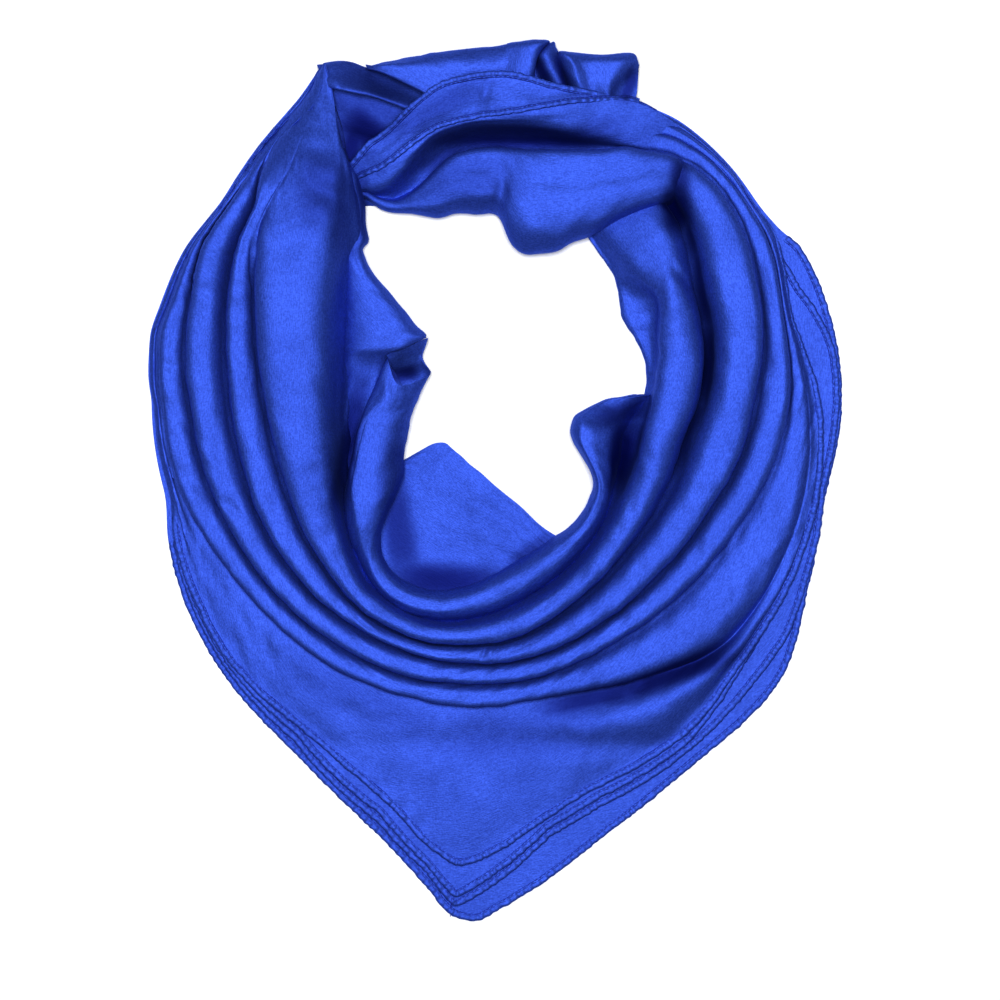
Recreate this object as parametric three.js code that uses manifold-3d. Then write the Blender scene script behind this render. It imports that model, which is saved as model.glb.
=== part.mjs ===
// A square satin scarf folded in a ring and laid flat, seen from above with its corners at the bottom.
// One woven cloth, so one solid: folded plies that join along the neck opening and the outer folds.
// Millimetres. +Z up, the cloth lies on z = 0, +Y points away from the hemmed corners.
import * as THREE from 'three';
import { mergeVertices } from 'three/addons/utils/BufferGeometryUtils.js';
import Module from 'manifold-3d';

const solidKit = await Module();
solidKit.setup();
const { Manifold, Mesh } = solidKit;

// Cloth
const CLOTH_WALL = 1.0;
const PLY_GAP = 0.35;
const HEM_WIDTH = 4.2;
const HEM_TURN = 0.6;
const HEM_STEP = 0.05;
const HEM_SHARE = 0.5;
const BAND_HEM_SHARE = 0.3;
const STEEP_LIMIT = 1.9;
const UPRIGHT = 0.1;
const SMALLEST_DETAIL = 0.25;

// Levels of the stacked plies, measured to each ply's underside
const BACK_LEVEL = 0;
const PLY_RISE = CLOTH_WALL + HEM_TURN + PLY_GAP;
const THIRD_LEVEL = BACK_LEVEL + PLY_RISE;
const SECOND_LEVEL = THIRD_LEVEL + PLY_RISE;

// Ring centre, the point that the sections fan out from
const RING_X = -3;
const RING_Y = 49;

// Rolls: where the ridge lies between two creases, and how deep the creases go
const RIDGE_LEAN = 1.7;
const RIDGE_ROUND = 0.62;
const INNER_LEAN = 0.85;
const WIDE_TURN = 7.5;
const WIDE_SIDE = 20;
const ROLL_STEPS = 4;
const EDGE_STEPS = 4;
const EDGE_ROUND = 0.8;
const RIM_ROUND = 4;

// Midline height of a folded edge where it meets the back ply, and how far inside the outline it stands
const SEATED = 1;
const SEAT_INSET = 1.2;

// Sections across the front ply. side = height of the section's start above the ring centre,
// turn = its direction in degrees, then distances from the start to each crease and edge.
const SECTION_NAMES = ['side', 'turn', 'crease4', 'crease3', 'crease2', 'crease1', 'crease0', 'front', 'back'];
const SECTIONS = [
  [197, 180, 98, 98.8, 99.6, 100.4, 101.2, 102, 104],
  [180, 180, 93, 98, 102, 106, 110, 114, 115],
  [156, 180, 90, 112, 127, 130, 132, 135, 136],
  [135, 180, 83, 120, 137, 144, 147, 150, 151],
  [119, 180, 83, 130, 139, 154, 157, 160, 161],
  [89, 180, 83, 142, 152, 173, 179, 183, 184],
  [59, 180, 85, 140, 157, 179, 191, 196, 197],
  [37, 180, 86, 139, 158, 182, 199, 203, 204],
  [16, 180, 87, 137, 157, 182, 199, 204, 205],
  [0, 180, 88, 134, 156, 179, 197, 202, 203],
  [0, 195, 91, 131, 153, 176, 194, 200, 203],
  [0, 204, 98, 132, 154, 174, 190, 207, 211],
  [0, 214, 105, 136, 155, 173, 187, 214, 220],
  [0, 225, 119, 140, 157, 173, 186, 222, 229],
  [0, 240, 133, 148, 158, 173, 186, 228, 241],
  [0, 255, 135, 150, 159, 173, 185, 248, 268],
  [0, 262, 132, 148, 159, 171, 185, 270, 292],
  [0, 266, 130, 147, 158, 171, 185, 280, 311],
  [0, 268.4, 128, 146, 158, 170, 184, 277, 313],
  [0, 271, 126, 146, 158, 170, 184, 271, 306],
  [0, 278, 121, 142, 156, 169, 182, 253, 287],
  [0, 285, 116, 137, 154, 167, 183, 242, 270],
  [0, 300, 107, 127, 148, 163, 193, 233, 250],
  [0, 315, 97, 121, 145, 163, 203, 218, 243],
  [0, 330, 89, 120, 146, 166, 200, 211, 221],
  [0, 345, 83, 120, 152, 173, 196, 205, 209],
  [0, 360, 93, 127, 158, 179, 190, 198, 211],
  [0, 375, 96, 135, 169, 182, 185, 188, 210],
  [0, 385, 94, 139, 175, 188, 191, 194, 208],
  [0, 391, 93, 143, 180, 192, 195, 198, 201],
  [0, 396, 97, 149, 184, 193, 195, 197, 199],
  [0, 405, 105, 159, 187, 195, 198, 200, 201],
  [0, 415, 110, 166, 187, 195, 198, 201, 202],
  [0, 424, 118, 168, 182, 189, 193, 196, 198],
];

// Heights along the same sections: crease 4 and the ridge beyond it, crease 3 and its ridge, and so on
// out to the front ply's edge.
const HEIGHT_NAMES = [
  'low4', 'ridge4', 'low3', 'ridge3', 'low2', 'ridge2', 'low1', 'ridge1', 'low0', 'panel', 'edge',
];
const HEIGHTS = [
  [12, 12, 11, 10, 9, 8, 7, 6, 4, 2.5, 1],
  [22, 26, 22, 20, 17, 15, 13, 11, 8, 5, 1],
  [25, 30, 25, 24, 16, 15, 12, 10, 7, 5, 1],
  [26, 33, 26, 25, 15, 17, 12, 10, 7, 5, 1],
  [22, 34, 25, 26, 15, 19, 11, 11, 7, 5, 1],
  [17, 34, 21, 24, 13, 20, 9, 13, 7, 5, 1],
  [15, 34, 16, 23, 11, 18, 8, 13, 8, 5, 1],
  [12, 33, 15, 22, 10, 17, 8, 13, 9, 5, 1],
  [11, 32, 15, 22, 10, 17, 8, 13, 9, 5, 1],
  [11, 31, 15, 22, 10, 17, 8, 13, 9, 6, 1],
  [11, 30, 14, 21, 10, 17, 8, 12, 8, 6, 4],
  [11, 29, 14, 21, 10, 17, 8, 12, 7, 6.6, 6.4],
  [11, 27, 14, 21, 10, 16, 8, 12, 7, 6.6, 6.4],
  [11, 26, 13, 20, 10, 16, 8, 12, 7, 6.8, 6.4],
  [11, 25, 12, 20, 10, 16, 8, 12, 7, 7, 6.4],
  [11, 24, 12, 19, 10, 15, 8, 12, 7, 7.4, 6.4],
  [11, 24, 12, 19, 10, 15, 8, 12, 7, 7.4, 6.4],
  [11, 24, 12, 19, 10, 15, 8, 12, 7, 7.4, 6.4],
  [11, 24, 12, 19, 10, 15, 8, 12, 7, 7.4, 6.4],
  [11, 24, 12, 19, 10, 15, 8, 12, 7, 7.4, 6.4],
  [10, 25, 11, 19, 10, 15, 8, 12, 7, 7.6, 6.4],
  [10, 25, 11, 20, 10, 16, 8, 12, 7, 8, 6.4],
  [9, 26, 10, 21, 10, 16, 8, 12, 6.6, 8.4, 6.4],
  [8, 27, 9, 22, 10, 17, 8, 11, 6.6, 7, 6.4],
  [7, 28, 9, 23, 10, 17, 8, 10, 6.8, 6.8, 6.4],
  [7, 28, 9, 24, 10, 18, 8, 9, 6.8, 6.8, 6.4],
  [1, 28, 9, 24, 10, 18, 8, 8.4, 7, 6.8, 6.4],
  [1, 26, 9, 24, 11, 17, 9, 8.6, 8, 7.2, 6.6],
  [1, 24, 9, 24, 12, 15, 10, 9, 8, 7.4, 6.6],
  [1, 22, 9, 24, 13, 14, 10, 9, 7, 6, 4.6],
  [1, 21, 9, 24, 13, 14, 10, 8, 6, 4, 1],
  [1, 19, 8, 24, 14, 14, 9, 7, 5, 3, 1],
  [1, 16, 8, 22, 14, 13, 9, 7, 5, 3, 1],
  [6, 11, 9, 16, 12, 11, 8, 6, 4, 2.5, 1],
];

// Inner roll: the distance of its edge on the neck opening, and its heights, along the sections it has.
const INNER_NAMES = ['side', 'turn', 'neck', 'crease4', 'edge_height', 'ridge', 'crease_height'];
const INNER_UPPER = [
  [119, 180, 76, 83, 10, 19, 22],
  [89, 180, 76, 83, 1, 14, 17],
  [59, 180, 57, 85, 1, 16, 15],
  [37, 180, 38, 86, 1, 18, 12],
  [31, 180, 46, 86, 5, 17, 11],
];
const INNER_LOWER = [
  [24, 180, 57, 87, 9, 14, 11],
  [16, 180, 35, 87, 1, 20, 11],
  [0, 180, 43, 88, 1, 22, 11],
  [0, 195, 49, 91, 1, 23, 11],
  [0, 210, 59, 102, 1, 24, 11],
  [0, 222, 70, 116, 1, 25, 11],
  [0, 231, 103, 125, 3, 24, 11],
  [0, 240, 119, 133, 3, 22, 11],
  [0, 255, 121, 135, 3, 22, 11],
  [0, 270, 106, 127, 3, 25, 11],
  [0, 285, 95, 116, 3, 26, 10],
  [0, 295, 91, 110, 1, 27, 9],
  [0, 305, 90, 103, 1, 27, 9],
  [0, 315, 86, 97, 1, 25, 8],
  [0, 322, 78, 93, 1, 25, 8],
  [0, 330, 61, 89, 1, 25, 7],
  [0, 338, 52, 86, 1, 24, 7],
  [0, 347, 52, 83, 1, 22, 7],
  [0, 355, 59, 88, 1, 18, 5],
  [0, 361, 68, 93, 2, 12, 5],
];

// Hanging fold at the top of the opening
const TOP_FOLD_NAMES = ['turn', 'neck', 'upper', 'edge_height', 'ridge', 'upper_height'];
const TOP_FOLD = [
  [411, 131, 180, 12, 14, 12],
  [416, 114, 175, 1, 19, 11],
  [421, 110, 169, 1, 23, 10],
  [425, 98, 161, 1, 24, 10],
  [430, 93, 155, 1, 24, 10],
  [435, 90, 151, 1, 24, 10],
  [440, 91, 149, 1, 23, 10],
  [444, 98, 149, 1, 20, 10],
  [447, 109, 150, 1, 18, 10],
  [453, 111, 150, 1, 19, 10],
  [460, 113, 146, 1, 19, 10],
  [466, 113, 138, 1, 17, 10],
  [471, 118, 131, 1, 12, 9],
  [476, 124, 131, 4, 9, 8],
];

// Hemmed band that lies over the hollow at the top
const BAND_NAMES = ['turn', 'lower_hem', 'upper_hem', 'lower_height', 'upper_height'];
const BAND = [
  [418, 187, 200, 12, 5],
  [423, 188, 199, 15, 11],
  [430, 185, 194, 20, 17],
  [435, 178, 192, 20, 18],
  [440, 173, 193, 20, 18],
  [445, 170, 193, 20, 18],
  [450, 168, 192, 20, 18],
  [455, 166, 190, 20, 18],
  [460, 164, 186, 20, 18],
  [465, 159, 178, 20, 18],
  [470, 155, 173, 20, 18],
  [476, 152, 168, 20, 18],
  [486, 150, 164, 20, 19],
];

// Cloth behind the band, with its upright pleats
const TOP_BACK_NAMES = ['turn', 'hidden', 'outline', 'crown', 'band_height'];
const TOP_BACK = [
  [423, 160, 201, 4, 5],
  [426, 160, 215, 6, 7],
  [428, 160, 224, 12, 10],
  [432, 160, 218, 14, 12],
  [436, 160, 214, 14, 12],
  [438, 160, 214, 6, 9],
  [440, 160, 218, 15, 12],
  [445, 160, 215, 15, 13],
  [450, 160, 211, 15, 13],
  [456, 160, 210, 15, 13],
  [462, 160, 210, 14, 13],
  [466, 160, 211, 7, 9],
  [470, 160, 212, 9, 10],
  [472, 160, 216, 14, 12],
  [474, 160, 221, 8, 9],
  [476.5, 160, 224, 12, 12],
];
const CROWN_REACH = 1.6;

// Back ply where it shows in the opening as a flap
const FLAP_NAMES = ['turn', 'neck'];
const FLAP = [
  [222, 69],
  [220.5, 57],
  [218.2, 43],
  [225.7, 37],
  [230, 37.2],
  [242, 38],
  [253, 41],
  [262, 44],
  [276, 54.4],
  [286, 67],
  [292, 82],
];
const FLAP_FROM = 221.5;
const FLAP_TO = 294.5;

// Second and third plies, which show beyond the front ply as two more hemmed corners
const PLY_NAMES = ['turn', 'second', 'third'];
const PLIES = [
  [205, 207, 209],
  [214, 215, 217],
  [225, 224, 226],
  [240, 232, 236],
  [255, 257, 262],
  [262, 281, 285],
  [266, 300, 306],
  [270, 287, 293],
  [278, 259, 264],
  [285, 248, 253],
  [300, 238, 242],
  [315, 223, 227],
  [330, 214, 217],
  [345, 207, 208],
  [360, 205, 209],
  [375, 202, 205],
  [384, 195, 198],
  [388, 190, 192],
];
const PLY_HIDDEN_EDGE = 150;
const PLY_FOLD_WIDTH = 1.6;
const SHARPEST_MITRE = 0.5;

const HEMS_FROM = 199;
const HEMS_TO = 389;
const RIGHT_OF_EAR = 361;
const TOP_FOLD_FROM = 417;

// Table rows as named values
function named(rows, names) {
  return rows.map((row) => Object.fromEntries(names.map((name, k) => [name, row[k]])));
}

// Value of a column between two rows, easing through the rows without overshoot
function eased(rows, name, at) {
  const last = rows.length - 1;
  const low = Math.min(Math.floor(at), last - 1);
  const t = at - low;
  const value = (k) => rows[Math.min(Math.max(k, 0), last)][name];
  const limit = (a, b) => (a * b <= 0 ? 0 : (2 * a * b) / (a + b));
  const here = value(low + 1) - value(low);
  const before = low > 0 ? value(low) - value(low - 1) : here;
  const after = low + 2 <= last ? value(low + 2) - value(low + 1) : here;
  const startSlope = limit(before, here);
  const endSlope = limit(here, after);
  const t2 = t * t;
  const t3 = t2 * t;
  return (2 * t3 - 3 * t2 + 1) * value(low) + (t3 - 2 * t2 + t) * startSlope
    + (3 * t2 - 2 * t3) * value(low + 1) + (t3 - t2) * endSlope;
}

// Every column of a table, with a station halfway between rows that lie far apart
function stations(rows) {
  const list = [];
  const names = Object.keys(rows[0]);
  const add = (at) => list.push(Object.fromEntries(names.map((name) => [name, eased(rows, name, at)])));
  for (let k = 0; k + 1 < rows.length; k += 1) {
    add(k);
    const turned = rows[k + 1].turn - rows[k].turn;
    const moved = (rows[k].side ?? 0) - (rows[k + 1].side ?? 0);
    if (turned >= WIDE_TURN || moved >= WIDE_SIDE) {
      add(k + 0.5);
    }
  }
  add(rows.length - 1);
  return list;
}

// Point on a section at a distance from its start
function onSection(row, distance, height) {
  const angle = THREE.MathUtils.degToRad(row.turn);
  const side = row.side ?? 0;
  return [RING_X + distance * Math.cos(angle), RING_Y + side + distance * Math.sin(angle), height];
}

// Height of a roll between two creases: the ridge leans outward and drops steeply to the next crease
function rollHeight(t, from, ridge, to, lean) {
  const line = from + (to - from) * t;
  const lift = Math.max(ridge - Math.max(from, to), 0);
  return line + (lift + Math.max(from, to) - line) * Math.sin(Math.PI * t ** lean) ** RIDGE_ROUND;
}

// Closed cloth wall round a grid of midline points. turned(i, j) adds the second turn of a hem.
function clothWall(grid, turned = () => 0) {
  const rows = grid.length;
  const columns = grid[0].length;
  const points = [];
  const within = (k, count) => Math.min(Math.max(k, 0), count - 1);
  const at = (i, j) => new THREE.Vector3(...grid[within(i, rows)][within(j, columns)]);
  for (const face of [1, -1]) {
    for (let i = 0; i < rows; i += 1) {
      for (let j = 0; j < columns; j += 1) {
        const alongRing = at(i + 1, j).sub(at(i - 1, j));
        const across = at(i, j + 1).sub(at(i, j - 1));
        const normal = alongRing.cross(across).normalize();
        const steep = Math.min(1 / Math.max(Math.abs(normal.z), UPRIGHT), STEEP_LIMIT);
        const extra = face > 0 ? turned(i, j) : 0;
        const [x, y, z] = grid[i][j];
        points.push(x, y, z + face * (CLOTH_WALL / 2) * steep + extra);
      }
    }
  }
  const top = (i, j) => i * columns + j;
  const under = (i, j) => rows * columns + i * columns + j;
  const faces = [];
  const quad = (a, b, c, d) => faces.push(a, c, b, a, d, c);
  for (let i = 0; i + 1 < rows; i += 1) {
    for (let j = 0; j + 1 < columns; j += 1) {
      quad(top(i, j), top(i + 1, j), top(i + 1, j + 1), top(i, j + 1));
      quad(under(i, j), under(i, j + 1), under(i + 1, j + 1), under(i + 1, j));
    }
    quad(top(i + 1, 0), top(i, 0), under(i, 0), under(i + 1, 0));
    quad(top(i, columns - 1), top(i + 1, columns - 1), under(i + 1, columns - 1), under(i, columns - 1));
  }
  for (let j = 0; j + 1 < columns; j += 1) {
    quad(top(0, j), top(0, j + 1), under(0, j + 1), under(0, j));
    quad(top(rows - 1, j + 1), top(rows - 1, j), under(rows - 1, j), under(rows - 1, j + 1));
  }
  return new Manifold(new Mesh({
    numProp: 3,
    vertProperties: Float32Array.from(points),
    triVerts: Uint32Array.from(faces),
  }));
}

// Flat cloth: an outline, less an opening if it has one, with its underside at a level
function flatCloth(outline, level, thickness, opening) {
  const shape = new THREE.Shape(outline.map(([x, y]) => new THREE.Vector2(x, y)));
  if (opening) {
    shape.holes.push(new THREE.Path(opening.map(([x, y]) => new THREE.Vector2(x, y))));
  }
  const plain = new THREE.ExtrudeGeometry(shape, { depth: thickness, bevelEnabled: false });
  plain.translate(0, 0, level);
  plain.deleteAttribute('normal');
  plain.deleteAttribute('uv');
  const merged = mergeVertices(plain);
  return new Manifold(new Mesh({
    numProp: 3,
    vertProperties: Float32Array.from(merged.attributes.position.array),
    triVerts: Uint32Array.from(merged.index.array),
  }));
}

const heights = named(HEIGHTS, HEIGHT_NAMES);
const plan = named(SECTIONS, SECTION_NAMES);
const sections = stations(plan.map((row, k) => ({ ...row, ...heights[k] })));
const topFoldRows = stations(named(TOP_FOLD, TOP_FOLD_NAMES));
const topBackRows = named(TOP_BACK, TOP_BACK_NAMES);
const inHems = (row) => row.turn >= HEMS_FROM && row.turn <= HEMS_TO;

// How far a folded edge stands inside the outline where it comes down onto the back ply
const inset = (height) => (height <= SEATED ? SEAT_INSET : 0);

// Front ply: rolls between the creases, then the panel out to its hem
function frontPly() {
  const grid = sections.map((row) => {
    const line = [];
    for (const k of [4, 3, 2, 1]) {
      const from = row[`crease${k}`] + (k === 4 ? inset(row.low4) : 0);
      const to = row[`crease${k - 1}`];
      for (let step = 0; step < ROLL_STEPS; step += 1) {
        const t = step / ROLL_STEPS;
        const z = rollHeight(t, row[`low${k}`], row[`ridge${k}`], row[`low${k - 1}`], RIDGE_LEAN);
        line.push(onSection(row, from + (to - from) * t, z));
      }
    }
    line.push(onSection(row, row.crease0, row.low0));
    const room = row.front - row.crease0;
    const hem = Math.min(HEM_WIDTH, room * HEM_SHARE);
    const roundedEdge = row.edge + (row.panel - row.edge) * EDGE_ROUND;
    const hemHeight = inHems(row) ? row.edge : roundedEdge;
    line.push(onSection(row, row.crease0 + (room - hem) / 2, row.panel));
    line.push(onSection(row, row.front - hem * (1 + HEM_STEP), hemHeight));
    line.push(onSection(row, row.front - hem * (1 - HEM_STEP), hemHeight));
    line.push(onSection(row, row.front, row.edge));
    return line;
  });
  const last = grid[0].length - 1;
  return clothWall(grid, (i, j) => (j >= last - 1 && inHems(sections[i]) ? HEM_TURN : 0));
}

// Inner roll or inner fold: from its edge on the neck opening to crease 4
function innerRoll(table) {
  const rows = stations(named(table, INNER_NAMES));
  const steps = ROLL_STEPS + 2;
  const grid = rows.map((row) => {
    const start = row.neck + inset(row.edge_height);
    const end = row.crease4 + CLOTH_WALL;
    const line = [];
    for (let step = 0; step <= steps; step += 1) {
      const t = step / steps;
      const z = rollHeight(t, row.edge_height, row.ridge, row.crease_height, INNER_LEAN);
      line.push(onSection(row, start + (end - start) * t, z));
    }
    return line;
  });
  return clothWall(grid);
}

// Smooth fold that hangs into the top of the opening
function topFold() {
  const steps = ROLL_STEPS + 1;
  const grid = topFoldRows.map((row) => {
    const start = row.neck + inset(row.edge_height);
    const line = [];
    for (let step = 0; step <= steps; step += 1) {
      const t = step / steps;
      const z = rollHeight(t, row.edge_height, row.ridge, row.upper_height, INNER_LEAN);
      line.push(onSection(row, start + (row.upper - start) * t, z));
    }
    line.push(onSection(row, row.upper + HEM_WIDTH, row.upper_height / 2));
    return line;
  });
  return clothWall(grid);
}

// Band with a hem along both edges
function topBand() {
  const rows = stations(named(BAND, BAND_NAMES));
  const grid = rows.map((row) => {
    const width = row.upper_hem - row.lower_hem;
    const hem = Math.min(HEM_WIDTH, width * BAND_HEM_SHARE);
    const wide = hem * (1 + HEM_STEP);
    const narrow = hem * (1 - HEM_STEP);
    const drop = row.lower_height - row.upper_height;
    const line = [];
    for (const inward of [0, narrow, wide, width / 2, width - wide, width - narrow, width]) {
      const dip = inward === width / 2 ? CLOTH_WALL : 0;
      line.push(onSection(row, row.lower_hem + inward, row.lower_height - (drop * inward) / width - dip));
    }
    return line;
  });
  const last = grid[0].length - 1;
  return clothWall(grid, (i, j) => (j < 2 || j > last - 2 ? HEM_TURN : 0));
}

// Cloth behind the band, down to the back ply along the outline
function topBack() {
  const steps = EDGE_STEPS + 1;
  const grid = topBackRows.map((row) => {
    const end = row.outline - SEAT_INSET;
    const line = [];
    for (let step = 0; step <= steps; step += 1) {
      const t = step / steps;
      const rim = Math.sqrt(1 - t ** RIM_ROUND);
      const crown = row.band_height + (row.crown - row.band_height) * Math.min(t * CROWN_REACH, 1);
      line.push(onSection(row, row.hidden + (end - row.hidden) * t, SEATED + (crown - SEATED) * rim));
    }
    return line;
  });
  return clothWall(grid);
}

// A flat outline as points, one a row, from the named column
function outlineOf(rows, column) {
  return rows.map((row) => onSection(row, row[column], 0).slice(0, 2));
}

// The strip along an outline that its hem is turned over on
function turnedHem(points, level) {
  const at = (k) => new THREE.Vector2(...points[Math.min(Math.max(k, 0), points.length - 1)]);
  const inner = points.map((point, k) => {
    const before = at(k).sub(at(k - 1)).normalize();
    const after = at(k + 1).sub(at(k)).normalize();
    const along = before.clone().add(after).normalize();
    const straight = Math.max(along.dot(k > 0 ? before : after), SHARPEST_MITRE);
    return [point[0] - (along.y * HEM_WIDTH) / straight, point[1] + (along.x * HEM_WIDTH) / straight];
  });
  return flatCloth([...points, ...inner.reverse()], level, CLOTH_WALL + HEM_TURN);
}

// Back ply: the whole outline on the table, less the neck opening but with the flap
function backPly() {
  const outline = [...outlineOf(sections, 'back'), ...outlineOf(topBackRows, 'outline')];
  const seated = (row) => row.edge_height <= SEATED;
  const innerTables = [INNER_UPPER, INNER_LOWER];
  const neckRows = innerTables.flatMap((table) => stations(named(table, INNER_NAMES)));
  const rightRows = sections.filter((row) => row.turn > RIGHT_OF_EAR && row.turn < TOP_FOLD_FROM);
  const opening = [
    ...outlineOf(neckRows.filter((row) => row.turn < FLAP_FROM && seated(row)), 'neck'),
    ...outlineOf(named(FLAP, FLAP_NAMES), 'neck'),
    ...outlineOf(neckRows.filter((row) => row.turn > FLAP_TO && seated(row)), 'neck'),
    ...outlineOf(rightRows, 'crease4'),
    ...outlineOf(topFoldRows.filter((row) => row.turn > TOP_FOLD_FROM && seated(row)), 'neck'),
  ];
  return flatCloth(outline, BACK_LEVEL, CLOTH_WALL, opening)
    .add(turnedHem(outlineOf(sections.filter(inHems), 'back'), BACK_LEVEL));
}

// Second or third ply: a crescent out to its hemmed corner, folded onto the ply below at its hidden edge
function hiddenPly(column, level) {
  const rows = named(PLIES, PLY_NAMES);
  const edge = outlineOf(rows, column);
  const ring = (distance) => rows.map((row) => onSection(row, distance, 0).slice(0, 2)).reverse();
  const fold = [...ring(PLY_HIDDEN_EDGE).reverse(), ...ring(PLY_HIDDEN_EDGE - PLY_FOLD_WIDTH)];
  const foldRise = PLY_RISE + CLOTH_WALL / 2;
  return flatCloth([...edge, ...ring(PLY_HIDDEN_EDGE - PLY_FOLD_WIDTH)], level, CLOTH_WALL)
    .add(turnedHem(edge, level))
    .add(flatCloth(fold, level + CLOTH_WALL / 2 - foldRise, foldRise));
}

// Triangles of a finished solid as three.js geometry
function asGeometry(solid) {
  const mesh = solid.getMesh();
  const geometry = new THREE.BufferGeometry();
  geometry.setAttribute('position', new THREE.BufferAttribute(new Float32Array(mesh.vertProperties), 3));
  geometry.setIndex(new THREE.BufferAttribute(new Uint32Array(mesh.triVerts), 1));
  geometry.computeVertexNormals();
  return geometry;
}

const cloth = Manifold.union([
  frontPly(),
  innerRoll(INNER_UPPER),
  innerRoll(INNER_LOWER),
  topFold(),
  topBand(),
  topBack(),
  hiddenPly('second', SECOND_LEVEL),
  hiddenPly('third', THIRD_LEVEL),
  backPly(),
]).simplify(SMALLEST_DETAIL);

const box = cloth.boundingBox();
const centred = cloth.translate([-(box.min[0] + box.max[0]) / 2, -(box.min[1] + box.max[1]) / 2, 0]);

const group = new THREE.Group();
group.name = 'square_scarf';
const scarf = new THREE.Mesh(asGeometry(centred), new THREE.MeshStandardMaterial({
  name: 'royal_blue_satin',
  color: 0x2f46d2,
  roughness: 0.42,
}));
scarf.name = 'scarf';
group.add(scarf);

export default group;
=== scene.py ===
import math

import bpy
import numpy as np
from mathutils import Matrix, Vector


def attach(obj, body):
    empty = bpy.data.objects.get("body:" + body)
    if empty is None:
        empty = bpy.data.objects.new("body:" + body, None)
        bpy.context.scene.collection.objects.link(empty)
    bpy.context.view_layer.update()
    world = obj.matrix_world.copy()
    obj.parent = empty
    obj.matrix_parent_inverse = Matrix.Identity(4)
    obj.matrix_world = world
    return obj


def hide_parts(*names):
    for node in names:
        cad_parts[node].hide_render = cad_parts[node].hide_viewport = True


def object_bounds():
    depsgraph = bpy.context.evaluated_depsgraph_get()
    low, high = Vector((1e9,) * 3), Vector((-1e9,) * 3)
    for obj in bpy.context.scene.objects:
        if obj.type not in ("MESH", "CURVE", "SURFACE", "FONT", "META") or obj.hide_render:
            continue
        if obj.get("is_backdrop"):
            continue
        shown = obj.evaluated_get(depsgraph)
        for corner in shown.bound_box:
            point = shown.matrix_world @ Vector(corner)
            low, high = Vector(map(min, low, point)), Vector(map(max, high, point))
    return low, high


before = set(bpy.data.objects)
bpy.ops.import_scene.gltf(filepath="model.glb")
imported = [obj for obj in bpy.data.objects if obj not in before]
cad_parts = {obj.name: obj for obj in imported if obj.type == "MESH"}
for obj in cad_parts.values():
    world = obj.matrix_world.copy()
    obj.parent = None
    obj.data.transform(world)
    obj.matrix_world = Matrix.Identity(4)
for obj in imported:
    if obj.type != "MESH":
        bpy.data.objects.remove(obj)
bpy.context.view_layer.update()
scene = bpy.context.scene

MM = 0.001

# Camera, straight above the middle of the picture
PICTURE_X = 3
PICTURE_Y = -11.4
CAMERA_HEIGHT = 3000
PICTURE_WIDTH = 600
SENSOR = 36
CLIP_END = 20
VIEW_EXPOSURE = 0.34
VIEW_GAMMA = 0.75

# Cloth
STATION_STEP = 2.3
FINE_STEP = 1.4
LEAST_STATIONS = 8
SHORTEST_STEP = 0.05
DENSE_COUNT = 6000
FRONT_SAMPLES = 118
HEM_WIDTH = 4.2
HEM_THICK = 1.0
STITCH_INSET = 3.5
STITCH_PITCH = 2.9
STITCH_LENGTH = 2.1
STITCH_THICK = 0.36
STITCH_LIFT = 0.42
PITCH_SPREAD = 0.05
LENGTH_SPREAD = 0.08
SLANT_SPREAD = 0.10
TUCK = 11.0
BACK_LEVEL = 0.7
THIRD_LEVEL = 1.7
SECOND_LEVEL = 2.8
CORE_LEVEL = 3.6
FLOOR_GAP = 0.15
LEAST_HEIGHT = 0.6

# Length, width and height of the streaks, of the crossing wrinkles and of the finest relief
RELIEF = [(90, 7, 0.11), (30, 22, 0.18), (12, 14, 0.035)]
LAYER_WAVE = 60

# Ring centre, the point that the sections fan out from
RING_X = -3
RING_Y = 49

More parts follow.
